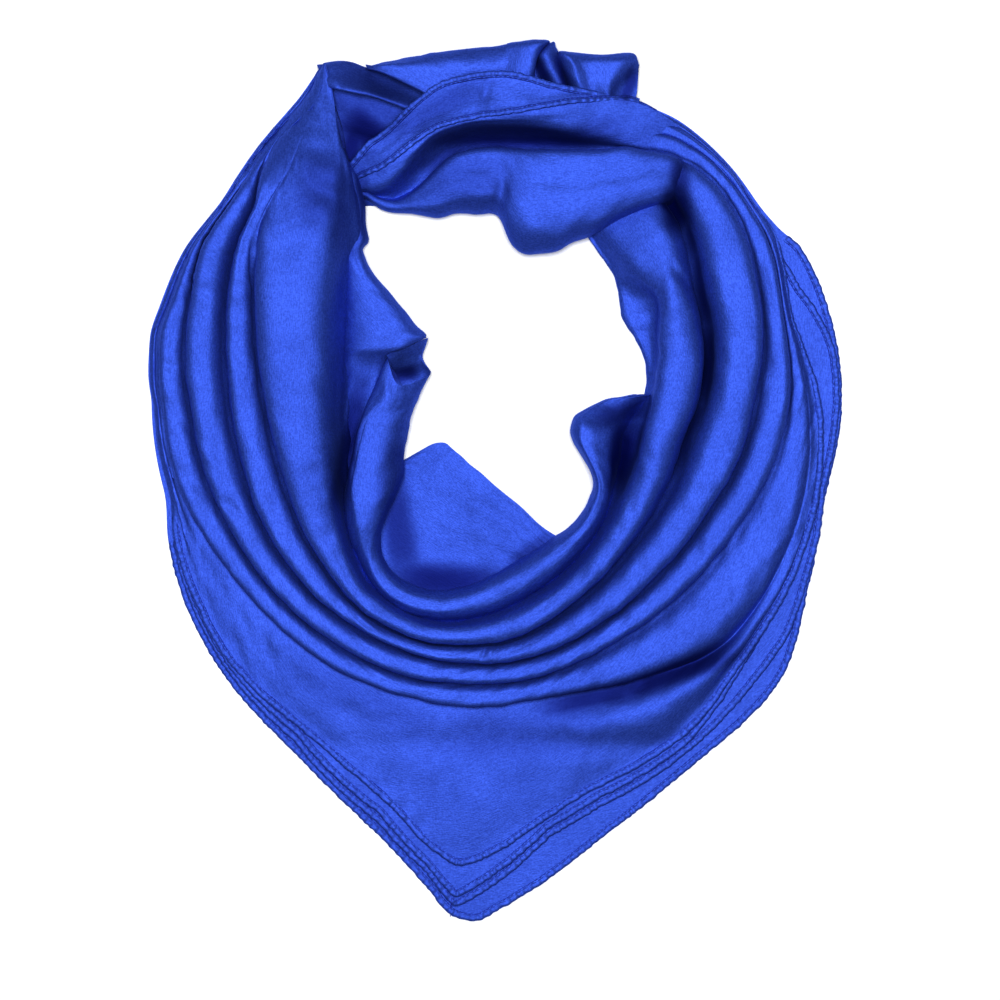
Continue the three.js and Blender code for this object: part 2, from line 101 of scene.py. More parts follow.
# Sections across the front ply. side: how far up the picture from the ring centre a section starts
# (tables without it start at the centre). turn: its direction in degrees. The rest are distances from
# its start to each crease and edge.
SECTION_NAMES = ["side", "turn", "crease4", "crease3", "crease2", "crease1", "crease0", "front", "back"]
SECTIONS = [
    [200.4, 180, 98.6, 99.0, 99.4, 99.8, 100.2, 100.6, 101.0],
    [180, 180, 93, 98, 102, 106, 110, 114, 115],
    [156, 180, 90, 112, 127, 130, 132, 135, 136],
    [135, 180, 83, 120, 137, 144, 147, 150, 151],
    [119, 180, 83, 130, 139, 154, 157, 160, 161],
    [89, 180, 83, 142, 152, 173, 179, 183, 184],
    [59, 180, 85, 140, 157, 179, 191, 196, 197],
    [37, 180, 86, 139, 158, 182, 199, 203, 204],
    [16, 180, 87, 137, 157, 182, 199, 204, 205],
    [0, 180, 88, 134, 156, 179, 197, 202, 203],
    [0, 195, 91, 131, 153, 176, 194, 200, 203],
    [0, 204, 98, 132, 154, 174, 190, 207, 211],
    [0, 214, 105, 136, 155, 173, 187, 214, 220],
    [0, 225, 119, 140, 157, 173, 186, 222, 229],
    [0, 240, 134, 148, 158, 173, 186, 228, 241],
    [0, 255, 137, 150, 159, 173, 185, 248, 268],
    [0, 262, 134.4, 148, 159, 171, 185, 270, 292],
    [0, 266, 131.6, 147, 158, 171, 185, 280, 311],
    [0, 268.4, 130, 146, 158, 170, 184, 277, 313],
    [0, 271, 128.4, 146, 158, 170, 184, 271, 306],
    [0, 278, 123, 142, 156, 169, 182, 253, 287],
    [0, 285, 118, 137, 154, 167, 183, 242, 270],
    [0, 300, 108.4, 127.4, 148, 163, 193, 233, 250],
    [0, 315, 98.4, 121.4, 145, 163, 203, 218, 243],
    [0, 330, 89, 120, 146, 166, 200, 211, 221],
    [0, 345, 83, 120, 152, 173, 196, 205, 209],
    [0, 360, 93, 127, 158, 179, 190, 198, 211],
    [0, 375, 96, 135, 169, 182, 185, 188, 210],
    [0, 385, 94, 139, 175, 188, 191, 194, 208],
    [0, 391, 93, 143, 180, 192, 195, 198, 201],
    [0, 396, 97, 149, 184, 193, 195, 197, 199],
    [0, 405, 105, 159, 187, 195, 198, 200, 201],
    [0, 415, 110, 164, 180, 192, 197, 201, 202],
    [0, 424, 118, 156, 166, 178, 190, 197, 198],
]

# Heights along the same sections: crease 4 and the ridge beyond it, crease 3 and its ridge, and so on
# out to the front ply's edge.
HEIGHT_NAMES = [
    "low4", "ridge4", "low3", "ridge3", "low2", "ridge2", "low1", "ridge1", "low0", "panel", "edge",
]
HEIGHTS = [
    [11, 12, 11, 10, 9, 9, 8, 7, 5, 3, 1],
    [12, 15, 14, 13.6, 12, 12, 10, 9, 7, 5, 1],
    [16, 21, 20.4, 20, 14, 17, 14, 13, 10, 7, 1],
    [20, 27, 26.3, 25.6, 12, 18, 13, 12.6, 10, 7, 1],
    [20, 29, 28.2, 27.4, 11, 21, 12, 14, 10, 7, 1],
    [14, 32, 24, 25.4, 8, 21, 8, 14, 9, 6, 1],
    [8, 34, 13, 24, 6, 18, 6, 13, 9, 5, 1],
    [7, 33, 12, 22, 6, 18, 6, 13, 9, 5, 1],
    [7, 32, 12, 22, 6, 18, 6, 13, 9, 5, 1],
    [7, 31, 12, 22, 6, 18, 6, 13, 8, 6, 1.5],
    [7, 30, 12, 21, 7, 17, 6, 13, 7, 5.6, 3.6],
    [6, 29, 12, 21, 7, 17, 6, 12, 6, 5.2, 4.6],
    [6, 27, 11, 21, 7, 16, 6, 12, 6, 5.2, 4.6],
    [6, 26, 10, 20, 7, 16, 6, 12, 6, 5.4, 4.6],
    [6, 25, 9, 20, 8, 16, 6, 12, 6, 5.6, 4.6],
    [6, 24, 9, 19, 8, 15, 6, 12, 5.6, 6, 4.6],
    [6, 24, 9, 19, 8, 15, 6, 12, 5.6, 6, 4.6],
    [6, 24, 9, 19, 8, 15, 6, 12, 5.4, 6, 4.6],
    [6, 24, 9, 19, 8, 15, 6, 12, 5.4, 6, 4.6],
    [6, 24, 8, 19, 7, 15, 6, 12, 5.2, 6.2, 4.6],
    [6, 25, 7, 19, 7, 15, 6, 12, 5, 6.6, 4.6],
    [5, 25, 6, 20, 7, 16, 6, 12.4, 4.6, 8.4, 4.6],
    [4, 26, 5, 21, 7, 16, 6, 13, 3.8, 10, 4.6],
    [3.4, 27, 4, 22, 7, 17, 6, 12.4, 4.2, 8.4, 4.6],
    [3, 28, 3.4, 23, 7, 17, 6, 10, 6.2, 6, 4.6],
    [2.6, 28, 3, 24, 8, 18, 6, 9, 6.6, 5.6, 4.6],
    [2.2, 28, 3, 24, 9, 18, 6, 8.4, 7, 5.4, 4.6],
    [1, 26, 3, 24, 10, 17, 7, 8.6, 8, 6, 4.6],
    [1, 24, 3, 24, 11, 16, 8, 10, 8, 6, 4.6],
    [1, 22, 3, 24, 12, 15.4, 9.6, 11, 9, 6, 3.4],
    [1, 21, 3, 24, 12.6, 15, 11, 11, 9, 6, 1],
    [1, 19, 3, 23, 12.6, 14, 11.6, 11, 9, 6, 1],
    [1, 12, 3, 13, 9, 11, 9, 9, 8, 6, 1],
    [1, 5, 2, 4, 2, 4, 3, 4, 3, 3, 1],
]

# How each edge lies, by section number. lip: 1 where the cloth turns under at crease 4, 0 where it meets
# the inner roll. crisp: 1 where a roll's outer edge hangs over the next, 0 for a soft valley.
# hemmed: 1 where the front ply ends in a hem, 0 where it turns under.
# step: 1 where a roll stands over the sheet beside it, at step_at of its width.
# plain: 1 where the rolls have faded into one smooth sheet.
EDGE_NAMES = [
    "section", "lip", "crisp3", "crisp2", "crisp1", "crisp0", "hemmed", "step", "step_at", "plain",
]
EDGES = [
    [0, 1, 0, 0, 0, 0, 0, 0, 0.3, 1],
    [2, 1, 0, 0.3, 0, 0, 0, 0, 0.3, 0.85],
    [3, 0.6, 0, 0.6, 0, 0, 0, 0, 0.3, 0.2],
    [4, 0.1, 0, 0.8, 0.6, 0, 0, 0, 0.3, 0],
    [5, 0, 0.3, 0.9, 1, 0, 0, 0, 0.3, 0],
    [6, 0, 1, 0.9, 1, 0, 0, 0, 0.3, 0],
    [8, 0, 1, 0.8, 1, 0.1, 0, 0, 0.3, 0],
    [10, 0, 1, 0.9, 1, 0.8, 0, 0, 0.3, 0],
    [11, 0, 1, 1, 1, 1, 1, 0, 0.3, 0],
    [19, 0, 1, 1, 1, 1, 1, 0, 0.3, 0],
    [21, 0, 0.9, 1, 1, 0.7, 1, 0, 0.3, 0],
    [22, 0, 0.8, 1, 1, 0.2, 1, 0, 0.3, 0],
    [23, 0, 0.4, 1, 1, 0, 1, 0, 0.3, 0],
    [24, 0, 0.1, 1, 1, 0, 1, 0.5, 0.28, 0],
    [25, 0, 0, 1, 1, 0, 1, 1, 0.27, 0],
    [26, 0.4, 0, 1, 1, 0, 1, 1, 0.10, 0],
    [27, 1, 0, 0.9, 1, 0, 1, 1, 0.18, 0],
    [28, 1, 0, 0.9, 1, 0, 1, 1, 0.36, 0],
    [29, 1, 0, 0.8, 0.9, 0, 1, 0.9, 0.48, 0],
    [30, 1, 0, 0.6, 0.1, 0, 0, 0.5, 0.5, 0],
    [31, 1, 0, 0.4, 0, 0, 0, 0, 0.4, 0],
    [33, 1, 0, 0, 0, 0, 0, 0, 0.3, 0],
]
# Least share of a full tuck at crease 3, where the roll beside it stands this much higher
DEEP_TUCK = 0.6
DEEP_DROP = 8

# Inner roll: the distance of its edge on the neck opening, its heights, and where its crest lies between
# the neck and crease 4.
INNER_NAMES = ["turn", "neck", "crease4", "edge_height", "ridge", "crease_height", "crest", "crisp"]
INNER_UPPER = [
    [150, 180, 87, 92, 8, 15, 16, 0.6, 0], [141, 180, 83.5, 90, 8, 17, 18, 0.6, 0],
    [135, 180, 80, 88, 8, 18, 20, 0.6, 0], [127, 180, 77, 87, 7, 17, 21, 0.55, 0],
    [119, 180, 75, 86.5, 5, 15, 20, 0.5, 0], [107, 180, 74.2, 86, 3, 13, 18, 0.5, 0],
    [98, 180, 73.4, 86, 2, 13, 16, 0.5, 0], [93.5, 180, 73.2, 86, 1, 13.5, 15, 0.5, 0],
    [91, 180, 75.6, 86, 1, 14, 14, 0.5, 0], [86, 180, 75.2, 86, 1, 15, 13, 0.45, 0],
    [80, 180, 73, 86, 1, 15.5, 12, 0.4, 0], [67, 180, 63, 87, 1, 15, 9, 0.42, 0],
    [49, 180, 48, 88, 1, 16, 8, 0.36, 0], [41, 180, 41, 88, 2, 16.5, 8, 0.32, 0],
    [37, 180, 38, 88, 8, 17, 8, 0.28, 0], [34, 180, 43, 88, 11, 17, 8, 0.25, 0],
    [31, 180, 48, 88, 12, 17, 8, 0.2, 0], [26.5, 180, 59, 88, 11, 14, 6.5, 0.2, 0],
    [22, 180, 61, 88, 5, 11, 6, 0.3, 0], [10, 180, 63, 87, 3, 8, 5, 0.3, 0],
    [-12, 180, 70, 86, 3, 6, 4, 0.3, 0], [-30, 180, 76, 86, 2, 4, 3, 0.3, 0],
    [-46, 180, 82, 87, 1, 2.4, 2, 0.3, 0],
]
INNER_LOWER = [
    [190, 47, 78, 4, 21.5, 12, 0.80, 1], [199, 51, 85, 3, 22, 11, 0.84, 1],
    [207, 56, 94, 1, 23, 10, 0.84, 0.8], [214, 62, 105, 1, 23.5, 7, 0.80, 0.4],
    [222, 70, 116, 1, 24, 6, 0.74, 0.1], [231, 103, 125, 3, 20, 6, 0.64, 0],
    [240, 118, 134, 3, 18, 6, 0.62, 0], [255, 119, 137, 3, 18.5, 6, 0.6, 0],
    [270, 106, 129, 3, 20, 6, 0.6, 0], [285, 95, 118, 3, 21, 5, 0.58, 0],
    [295, 91, 111.5, 2, 22, 4, 0.55, 0], [305, 89, 105, 2, 22, 4, 0.5, 0],
    [315, 84, 98.5, 2, 22, 3.4, 0.46, 0], [322, 78, 93, 1, 21, 3, 0.40, 0],
    [330, 61, 89, 1, 21, 2.6, 0.34, 0], [338, 52, 86, 1, 20, 2.4, 0.30, 0],
    [345, 51.2, 84, 1, 19, 2, 0.28, 0], [349, 52.5, 85, 1, 17, 2, 0.2, 0],
    [353, 56.5, 87, 1, 15, 2, 0.15, 0], [357, 62.5, 90, 1, 13, 3, 0.14, 0],
    [360, 69, 94, 1, 12, 4, 0.2, 0], [361.2, 78, 97, 1, 11, 7, 0.3, 0],
    [361.8, 86, 99, 0.8, 7, 6, 0.4, 0],
]

# The lower inner roll's mouth: points from under its neck edge, over its rim and down its far side
ROLL_MOUTH = [
    [(-42, 62.5, 3), (-39.5, 63.6, 5), (-38.4, 64.2, 8), (-43, 60.8, 12), (-50, 58, 16),
     (-57, 57, 19.5), (-60.5, 61.5, 20), (-62.8, 68.5, 19.5), (-64.2, 73.8, 17), (-62, 71, 13)],
    [(-46, 57, 1.5), (-43, 57.5, 2.5), (-42, 57.6, 7), (-46, 54, 13), (-53, 50.5, 18),
     (-60, 50, 21), (-64, 53, 21.4), (-67.3, 58.5, 20), (-69, 63.6, 16), (-66, 61, 10)],
    [(-51, 48, 1), (-47.5, 48, 3), (-46.5, 48, 9), (-51, 45, 15.5), (-58, 42.5, 19.4),
     (-65.5, 43, 21.4), (-69, 45, 21.6), (-72, 48.5, 19.6), (-73.8, 51.6, 15), (-70.5, 50, 9)],
]

# Pocket in the knot: the wall under the upper sheet's fold, then its floor
KNOT_POCKET = [
    [(-65, 76, 13), (-63, 71, 10), (-60, 66, 5), (-57, 60, 3), (-55, 55, 3)],
    [(-58, 77.6, 15), (-57, 73, 11), (-55, 68, 6), (-52, 62, 3), (-49, 56, 3)],
    [(-51, 80.4, 15), (-50, 75.5, 11), (-48.5, 70, 7), (-46, 64, 4), (-44, 58, 3)],
    [(-45, 83.6, 13), (-45, 78, 10), (-44.5, 72.6, 8), (-41.5, 67, 6), (-40, 62, 4)],
    [(-41.2, 85.2, 10), (-42.6, 79.5, 9), (-43.8, 73, 8.5), (-40, 67.4, 8), (-38.6, 64.4, 6)],
    [(-40.6, 85.6, 3), (-42.2, 79, 3), (-43.2, 73, 3), (-39.4, 67, 3), (-38.2, 64.2, 3)],
]

# Hanging fold at the top of the opening
TOP_FOLD = [
    [406.6, 160, 168, 2, 4, 2, 0.5, 0.2], [407.4, 158, 172, 3, 10, 3, 0.5, 0.3],
    [408.6, 154, 178, 5, 18, 6, 0.5, 0.4], [411.3, 144, 183, 7, 22.6, 8, 0.55, 0.6],
    [415.5, 127, 180, 4, 24, 8, 0.58, 0.6], [419, 112, 174, 1, 24, 7, 0.58, 0.9],
    [422, 106, 170, 1, 24, 6, 0.58, 1], [425, 98, 164, 1, 24, 5, 0.55, 1],
    [430, 93, 158, 1, 24, 4, 0.55, 1], [435, 90, 154, 1, 23.5, 3.4, 0.55, 1],
    [440, 91, 151, 1, 22.5, 3, 0.55, 1], [444, 98, 150, 1, 20.5, 3, 0.55, 1],
    [447, 109, 150, 1, 19, 3, 0.5, 1], [453, 111, 150, 1, 19, 3, 0.5, 1],
    [460, 113, 146, 1, 18, 3, 0.5, 0.9], [466, 113, 138, 1, 16, 3, 0.5, 0.7],
    [471, 118, 133, 1, 13, 3, 0.5, 0.4], [476, 124, 133, 2, 10, 3, 0.5, 0.3],
    [480, 132, 142, 2, 8, 4, 0.5, 0.3], [481.6, 141, 150, 2, 8, 6, 0.5, 0.3],
    [485, 146, 156, 2, 8, 6, 0.5, 0.3], [489, 150, 160, 2, 8, 6, 0.5, 0.3],
]

# Hemmed band that lies over the hollow at the top
BAND_NAMES = ["turn", "lower_hem", "upper_hem", "lower_height", "upper_height"]
BAND = [
    [420, 199, 200, 6, 5], [423, 198.5, 199.5, 8, 7],
    [426.5, 194, 196.5, 11, 10], [430, 188.5, 194.3, 14, 13],
    [434, 183.4, 193.3, 18, 16], [438, 178, 192, 20, 18],
    [443, 172.5, 194.3, 20.5, 18.5], [448, 169, 195.6, 20.5, 18.5],
    [452.7, 167.3, 194.2, 20.5, 18.5], [456.3, 165.7, 192.7, 20.5, 18.5],
    [459.6, 164.5, 190.7, 20.5, 18.5], [462, 163, 186.7, 20.5, 18.5],
    [466, 158.7, 180.6, 20, 18], [471.4, 153.7, 172.3, 18.5, 17],
    [475.8, 151.5, 169.5, 16, 16], [480.2, 153, 164.7, 12, 13],
    [486, 154, 160, 8, 9],
]

# Cloth between the band's lower hem and the hanging fold: a lit shelf on the right, the dark hollow on
# the left. shelf = the share of its width that stays up at the hem's height.
HOLLOW_NAMES = ["turn", "fold", "hem", "floor", "hem_height", "shelf"]
HOLLOW = [
    [409, 186, 198, 2, 2, 0.9], [414, 180, 199, 4.4, 5, 0.9],
    [419, 173, 199, 7, 10, 0.88], [424, 166, 197.6, 6, 12.6, 0.82],
    [430, 158, 189, 4, 15, 0.72], [435, 154, 182, 3, 18.5, 0.58],
    [440, 151, 175.4, 2.4, 20, 0.4], [447, 150, 169.6, 2, 20.2, 0.26],
    [455, 149, 166.6, 2, 20.2, 0.2], [462, 144, 163.2, 2, 20.2, 0.2],
    [466, 138, 158.8, 2, 19.6, 0.3], [471, 133, 154, 2, 18, 0.45],
    [476, 132, 151.6, 2, 15.6, 0.6], [481, 142, 153, 3, 11, 0.7],
    [487, 148, 156, 3, 8, 0.7],
]

# Cloth behind the band, with its upright pleats
TOP_BACK_NAMES = ["turn", "hidden", "outline", "crown", "band_height"]
TOP_BACK = [
    [443, 172, 216, 14, 13], [446, 170, 214, 15, 13], [450, 168, 211, 15, 13],
    [456, 170, 210, 15, 13], [460, 178, 210, 15, 14], [462, 186, 210, 15, 14.5],
    [464.5, 193, 210.5, 15, 15], [467, 201, 211.3, 14.5, 15], [469, 207, 212, 13, 14],
    [470.4, 210.6, 212.4, 10, 11],
]

# Upright pleats at the right of the top: from the main sheet over three folded edges to the last block
PLEATS = [
    [(8, 261, 1), (31, 262.8, 1), (33, 263, 1), (34.6, 262.4, 1), (36.6, 259.6, 1), (38, 257.4, 1),
     (39.4, 256.6, 1), (52, 255.4, 1), (66, 254.4, 1), (78, 255.4, 1), (83, 254.4, 1), (84, 252, 1)],
    [(8, 262, 6), (32.2, 263.6, 8), (32, 261.4, 5), (35, 262.8, 8), (37, 259, 5), (38, 257, 5),
     (39.6, 257.2, 8), (51, 256.2, 7), (66, 255.2, 7), (78, 256.2, 7), (84, 255.2, 7), (86, 250, 5)],
    [(7, 261, 12), (30, 261.6, 15), (27, 257, 7), (30, 257, 12), (38, 255, 7), (37, 253, 5),
     (40.4, 255, 13), (51, 253, 12), (66, 252.4, 12.5), (78, 252.6, 12), (83, 250.6, 9), (86, 246, 5)],
    [(6, 256, 14), (26, 256, 16), (24.6, 251, 7), (31.6, 251.6, 13), (40, 250, 6), (38, 248, 5),
     (44, 249, 14), (53, 247, 13), (66, 246.6, 13.5), (76, 246, 12), (80, 244, 6), (85.6, 240, 5)],
    [(5, 249, 14), (23.6, 247, 16), (24, 244, 7), (34, 246, 13), (41.6, 244, 5), (41, 242, 4),
     (46.4, 242, 14), (55, 240, 13), (65, 239.4, 13.5), (71, 238, 12), (75, 236, 5), (85, 233, 5)],
    [(4, 240, 13), (22, 239, 15), (25, 237, 6), (37.6, 237.6, 12), (43.6, 236, 5), (43.6, 234, 4),
     (49, 234.4, 13), (56, 233, 12), (64, 232.4, 12), (69, 231, 11), (72, 229, 4), (84, 228, 5)],
    [(3, 228, 11), (21, 227, 12), (26, 226, 6), (38, 226.6, 9), (46, 226, 4), (46.6, 225, 4),
     (50, 225, 9), (57, 224.6, 9), (64, 224, 9), (70, 223, 8), (74, 222, 4), (82, 221, 4)],
]

# Sheet between the two folded edges at the upper left: from the outline to its folded edge, and under
PEAK_SHEET = [
    [(-103, 249, 1), (-102.6, 250.2, 7), (-101, 243, 12),
     (-99.4, 236, 14), (-98.6, 234.4, 13), (-98, 237, 11)],
    [(-97, 249.6, 1), (-97, 251, 8), (-95.6, 243, 14),
     (-94.4, 234.6, 16.8), (-94, 233.4, 15.8), (-93.6, 236, 13)],
    [(-90, 250.4, 1), (-90.4, 251.6, 6), (-90, 243, 11),
     (-90, 234, 16), (-90, 232.6, 15.2), (-89.4, 235.4, 12.6)],
    [(-78, 247, 1), (-78, 248.2, 4), (-78, 240, 9),
     (-78, 231.8, 15), (-78, 230.2, 14.2), (-77.2, 233, 12)],
    [(-66, 244, 1), (-66, 245, 3), (-67.4, 236, 8),
     (-69, 229.4, 14), (-69, 227.8, 13.2), (-68, 231, 11)],
    [(-54, 240, 1), (-54, 241, 3), (-57, 232, 8),
     (-60, 226, 13), (-60.4, 224.4, 12.2), (-59, 227.4, 10)],
    [(-40, 236, 1), (-40, 237, 3), (-45, 228, 7),
     (-50, 222.6, 11.6), (-51, 221, 11), (-50, 224, 9)],
]

# Floor of the dark hollow under those sheets
PEAK_HOLLOW = [
    [(-101, 240, 6), (-97, 228, 6), (-93, 217, 5), (-90, 204, 3), (-88, 180, 1.5)],
    [(-92, 236, 7), (-88, 225, 7), (-84, 214, 5), (-81, 203, 2), (-76, 176, 1.5)],
    [(-78, 233, 6), (-75, 222, 6), (-72, 211, 4), (-69, 200, 1.6), (-64, 180, 1.5)],
    [(-62, 229, 5), (-60, 218, 5), (-58, 207, 3.4), (-56, 196, 1.6), (-52, 184, 1.5)],
    [(-44, 224, 4), (-44, 214, 4), (-44, 206, 2.6), (-44, 198, 1.6), (-42, 188, 1.5)],
]

# The corner of the back ply that shows in the opening
FLAP_TIP = (-28, 21)
FLAP_WAY = (0.65, 0.76)
FLAP_LEVEL = 1.2
FLAP_RISE = 3.5
FLAP_REACH = 28
FLAP_NAMES = ["turn", "neck"]
FLAP = [
    [214, 74], [218.2, 43], [225.7, 37], [230, 37.2], [242, 38], [253, 41],
    [262, 44], [276, 54.4], [286, 67], [292, 82], [298, 96],
]

# Second and third plies, which show beyond the front ply as two more hemmed corners
PLY_NAMES = ["turn", "second", "third"]
PLIES = [
    [205, 207, 209], [214, 215, 217], [225, 224, 226], [240, 232, 236], [255, 257, 262],
    [262, 281, 285], [266, 300, 306], [270, 287, 293], [278, 259, 264], [285, 248, 253],
    [300, 238, 242], [312, 222, 233], [322, 213, 228], [330, 208, 219.4], [345, 202, 207.8],
    [360, 195, 209.6], [366.6, 190, 209.4], [370, 188, 208], [374.4, 186, 204], [377, 186, 201],
    [380, 186, 197.4], [386.5, 186, 194.6], [388, 186, 193],
]
SECOND_HEM_TO = 322
HEMS_FROM = 199
PLIES_FROM = 204
PLIES_TO = 388
HEMS_TO = 389
LOWER_HEM_END = 87
UPPER_HEM_END = 62
BEYOND = 200

# Where the hidden layers begin, as (turn, distance); in the opening the flap takes over from them
LAYER_START = [
    (180, 60), (195, 62), (210, 72), (222, 84), (231, 116), (240, 130), (255, 132), (270, 118),
    (285, 107), (300, 106), (315, 126), (330, 128), (345, 132), (362, 134), (405, 172),
]
FLAP_END = [(214, 84), (222, 84), (231, 116), (240, 130), (255, 132), (270, 118), (285, 107), (298, 106)]
UPPER_START_TO = 228
PEAK_SIDE = 30
LAYER_ROOM = 4
LAYER_SHARES = np.array([[0, 0.35, 0.65, 0.85, 0.95, 1.0]])
CORE_SHARES = np.array([[0, 0.5, 1.0]])

# Shape of a roll between two creases, as shares of its width and of its rise above the inner crease,
# then above the outer crease, where an edge is soft and where it is crisp.
INNER_SIDE_BROAD = [(0.05, 0.24), (0.13, 0.58), (0.26, 0.88), (0.50, 0.99)]
INNER_SIDE_SOFT = [(0.05, 0.28), (0.14, 0.64), (0.30, 0.92), (0.56, 1.0)]
INNER_SIDE_CRISP = [(0.05, 0.26), (0.15, 0.60), (0.31, 0.90), (0.58, 1.0)]
OUTER_SIDE_SOFT = [(0.80, 0.93), (0.92, 0.56), (0.97, 0.16)]
OUTER_SIDE_CRISP = [(0.93, 0.96), (1.00, 0.58), (0.975, 0.14)]
# A roll that stands over the sheet beside it: share of the step's place, share added to it, and rise
STEPPED_SIDE = [(0.5, 0.0, 0.14), (0.96, 0.0, 0.30), (1.0, 0.015, 0.66), (1.0, 0.11, 0.95)]

# Dents and small creases seen in the cloth: centre, direction in degrees, length, width, rise
DENTS = [
    (39, -157, 0, 85, 7, -2.0), (-99, 170, -35, 20, 6, -2.2), (-158, -15, -32, 9, 2.4, -1.6),
    (-153, -17, -32, 7, 1.8, 0.9), (-195, 69, -15, 7, 1.6, -1.2), (-6.5, -102, 70, 4, 1.4, -1.5),
    (-2.5, -101.5, 75, 3.4, 1.4, 1.1), (161, -47, 43, 38, 1.3, 0.6), (111, 122, -50, 12, 2.2, -2.0),
    (-192, 49, -40, 10, 2.4, 0.7), (-183, 31, -42, 11, 2.4, -0.7), (-174, 16, -42, 12, 2.6, 0.7),
    (-183, 1, -44, 11, 2.4, -0.6), (-168, 0, -44, 11, 2.4, 0.6), (-6, 230, 80, 9, 2.4, -1.5),
    (2.4, 167, 75, 14, 4, -2.4), (-58, 174.6, 35, 14, 1.8, 1.0),
]

# Painted shade in the deep folds, where the cloth's colour is darkened to stand in for shadow: centre,
# direction, length, width, share, and height they end at
PAINTED_FOLD_SHADES = [
    (-76, 208, -40, 22, 13, 1.0, 17), (-84, 218, -65, 28, 14, 0.6, 11),
    (-66, 220, -25, 22, 10, 0.55, 13), (18, 206, 3, 54, 10, 0.85, 17),
    (16, 203.6, -1, 60, 5, 0.95, 17), (110.4, 178, 95, 14, 6, 0.8, 60),
    (109, 162, 95, 14, 9, 0.9, 60), (27.6, 245.6, -60, 12, 3.8, 0.95, 16),
    (39.6, 243.6, -66, 13, 3.8, 0.85, 16), (80.6, 237, 70, 11, 4.2, 0.85, 18),
    (-70, 236, -22, 26, 9, 0.5, 60), (-87, 22, 80, 42, 6, 0.9, 60),
    (-93, 160, 100, 26, 9, 0.4, 60), (-27, 196, 35, 20, 6, 0.7, 14),
    (76, 15, 75, 24, 10, 1.0, 19), (75, 40, 15, 17, 7, 0.75, 60),
    (119, 160, 100, 30, 8, 0.9, 16), (127, 116, 93, 30, 8, 0.9, 16),
    (127, 70, 85, 30, 8, 0.9, 16), (119, 28, 68, 26, 7, 0.8, 13),
    (108, 163, -50, 15, 10, 1.0, 17), (-54, 64, 15, 9, 5, 0.9, 12),
    (-90, 50, 90, 80, 4, 0.4, 13), (-30, -60, -4, 36, 11, 0.95, 7),
    (62, -129, 13, 38, 7.5, 0.9, 15), (104, -116, 21, 46, 8, 0.95, 15),
    (15, -152, 2, 50, 14, 0.3, 60), (-75, -134, -25, 50, 11, 0.22, 60),
    (-100, 172, 90, 24, 20, 0.5, 60), (-79, 163, 95, 26, 5, 0.6, 60),
    (-86, 200, 75, 18, 7, 1.0, 14), (-39, 220, 28, 34, 8, 0.5, 60),
    (-16, 181, 0, 32, 15, 0.3, 60), (-62, 2, 82, 24, 7, 0.4, 60),
    (-58, -28, 100, 32, 10, 0.8, 8), (25, -42, 35, 18, 7, 0.7, 8),
]
# Painted shade: the height over which it fades out, and the name of the point attribute that carries it
PAINTED_SHADE_FADE = 5.0
PAINTED_SHADE_ATTRIBUTE = "painted_fold_shade"


def columns(names, rows):
    """Table rows as named columns."""
    return dict(zip(names, np.array(rows, float).T))


def by_turn(turn, pairs):
    """A value between (turn, value) pairs."""
    turns, values = zip(*pairs)
    return np.interp(turn, turns, values)


def eased(values, at):
    """A column between its rows, easing through them without overshoot."""
    last = len(values) - 1
    low = np.clip(np.floor(at).astype(int), 0, last - 1)
    t = at - low
    steps = np.diff(values)
    before, here, after = steps[np.maximum(low - 1, 0)], steps[low], steps[np.minimum(low + 1, last - 1)]

    def slope(a, b):
        together = a * b
        total = np.where(np.abs(a + b) < 1e-9, 1, a + b)
        return np.where(together <= 0, 0, 2 * together / total)

    t2, t3 = t * t, t * t * t
    return (
        (2 * t3 - 3 * t2 + 1) * values[low]
        + (t3 - 2 * t2 + t) * slope(before, here)
        + (3 * t2 - 2 * t3) * values[low + 1]
        + (t3 - t2) * slope(here, after)
    )


def softened(values, reach):
    """A column smoothed along the stations, with its ends kept."""
    if reach <= 0:
        return values
    pad = int(4 * reach)
    kernel = np.exp(-0.5 * (np.arange(-pad, pad + 1) / reach) ** 2)
    kernel /= kernel.sum()
    before = 2 * values[0] - values[pad:0:-1]
    after = 2 * values[-1] - values[-2:-pad - 2:-1]
    return np.convolve(np.concatenate([before, values, after]), kernel, "valid")


def on_section(c, distance):
    """Plan position on a section at a distance from its start."""
    angle = np.radians(c["turn"])
    return RING_X + distance * np.cos(angle), RING_Y + c.get("side", 0) + distance * np.sin(angle)


def stations(table, along, step=STATION_STEP, smooth=0.0, sharp=()):
    """Every column at even steps along the cloth, measured on the named columns."""
    fine = np.linspace(0, len(table["turn"]) - 1, DENSE_COUNT)
    dense = {name: eased(values, fine) for name, values in table.items()}
    travel = np.zeros(len(fine) - 1)
    for name in along:
        x, y = on_section(dense, dense[name])
        travel = np.maximum(travel, np.hypot(np.diff(x), np.diff(y)))
    way = np.concatenate([[0], np.cumsum(travel)])
    count = max(int(way[-1] / step), LEAST_STATIONS)
    at = np.interp(np.linspace(0, way[-1], count), way, fine)
    made = {}
    for name, values in table.items():
        made[name] = softened(eased(values, at), 0 if name in sharp else smooth)
    return made


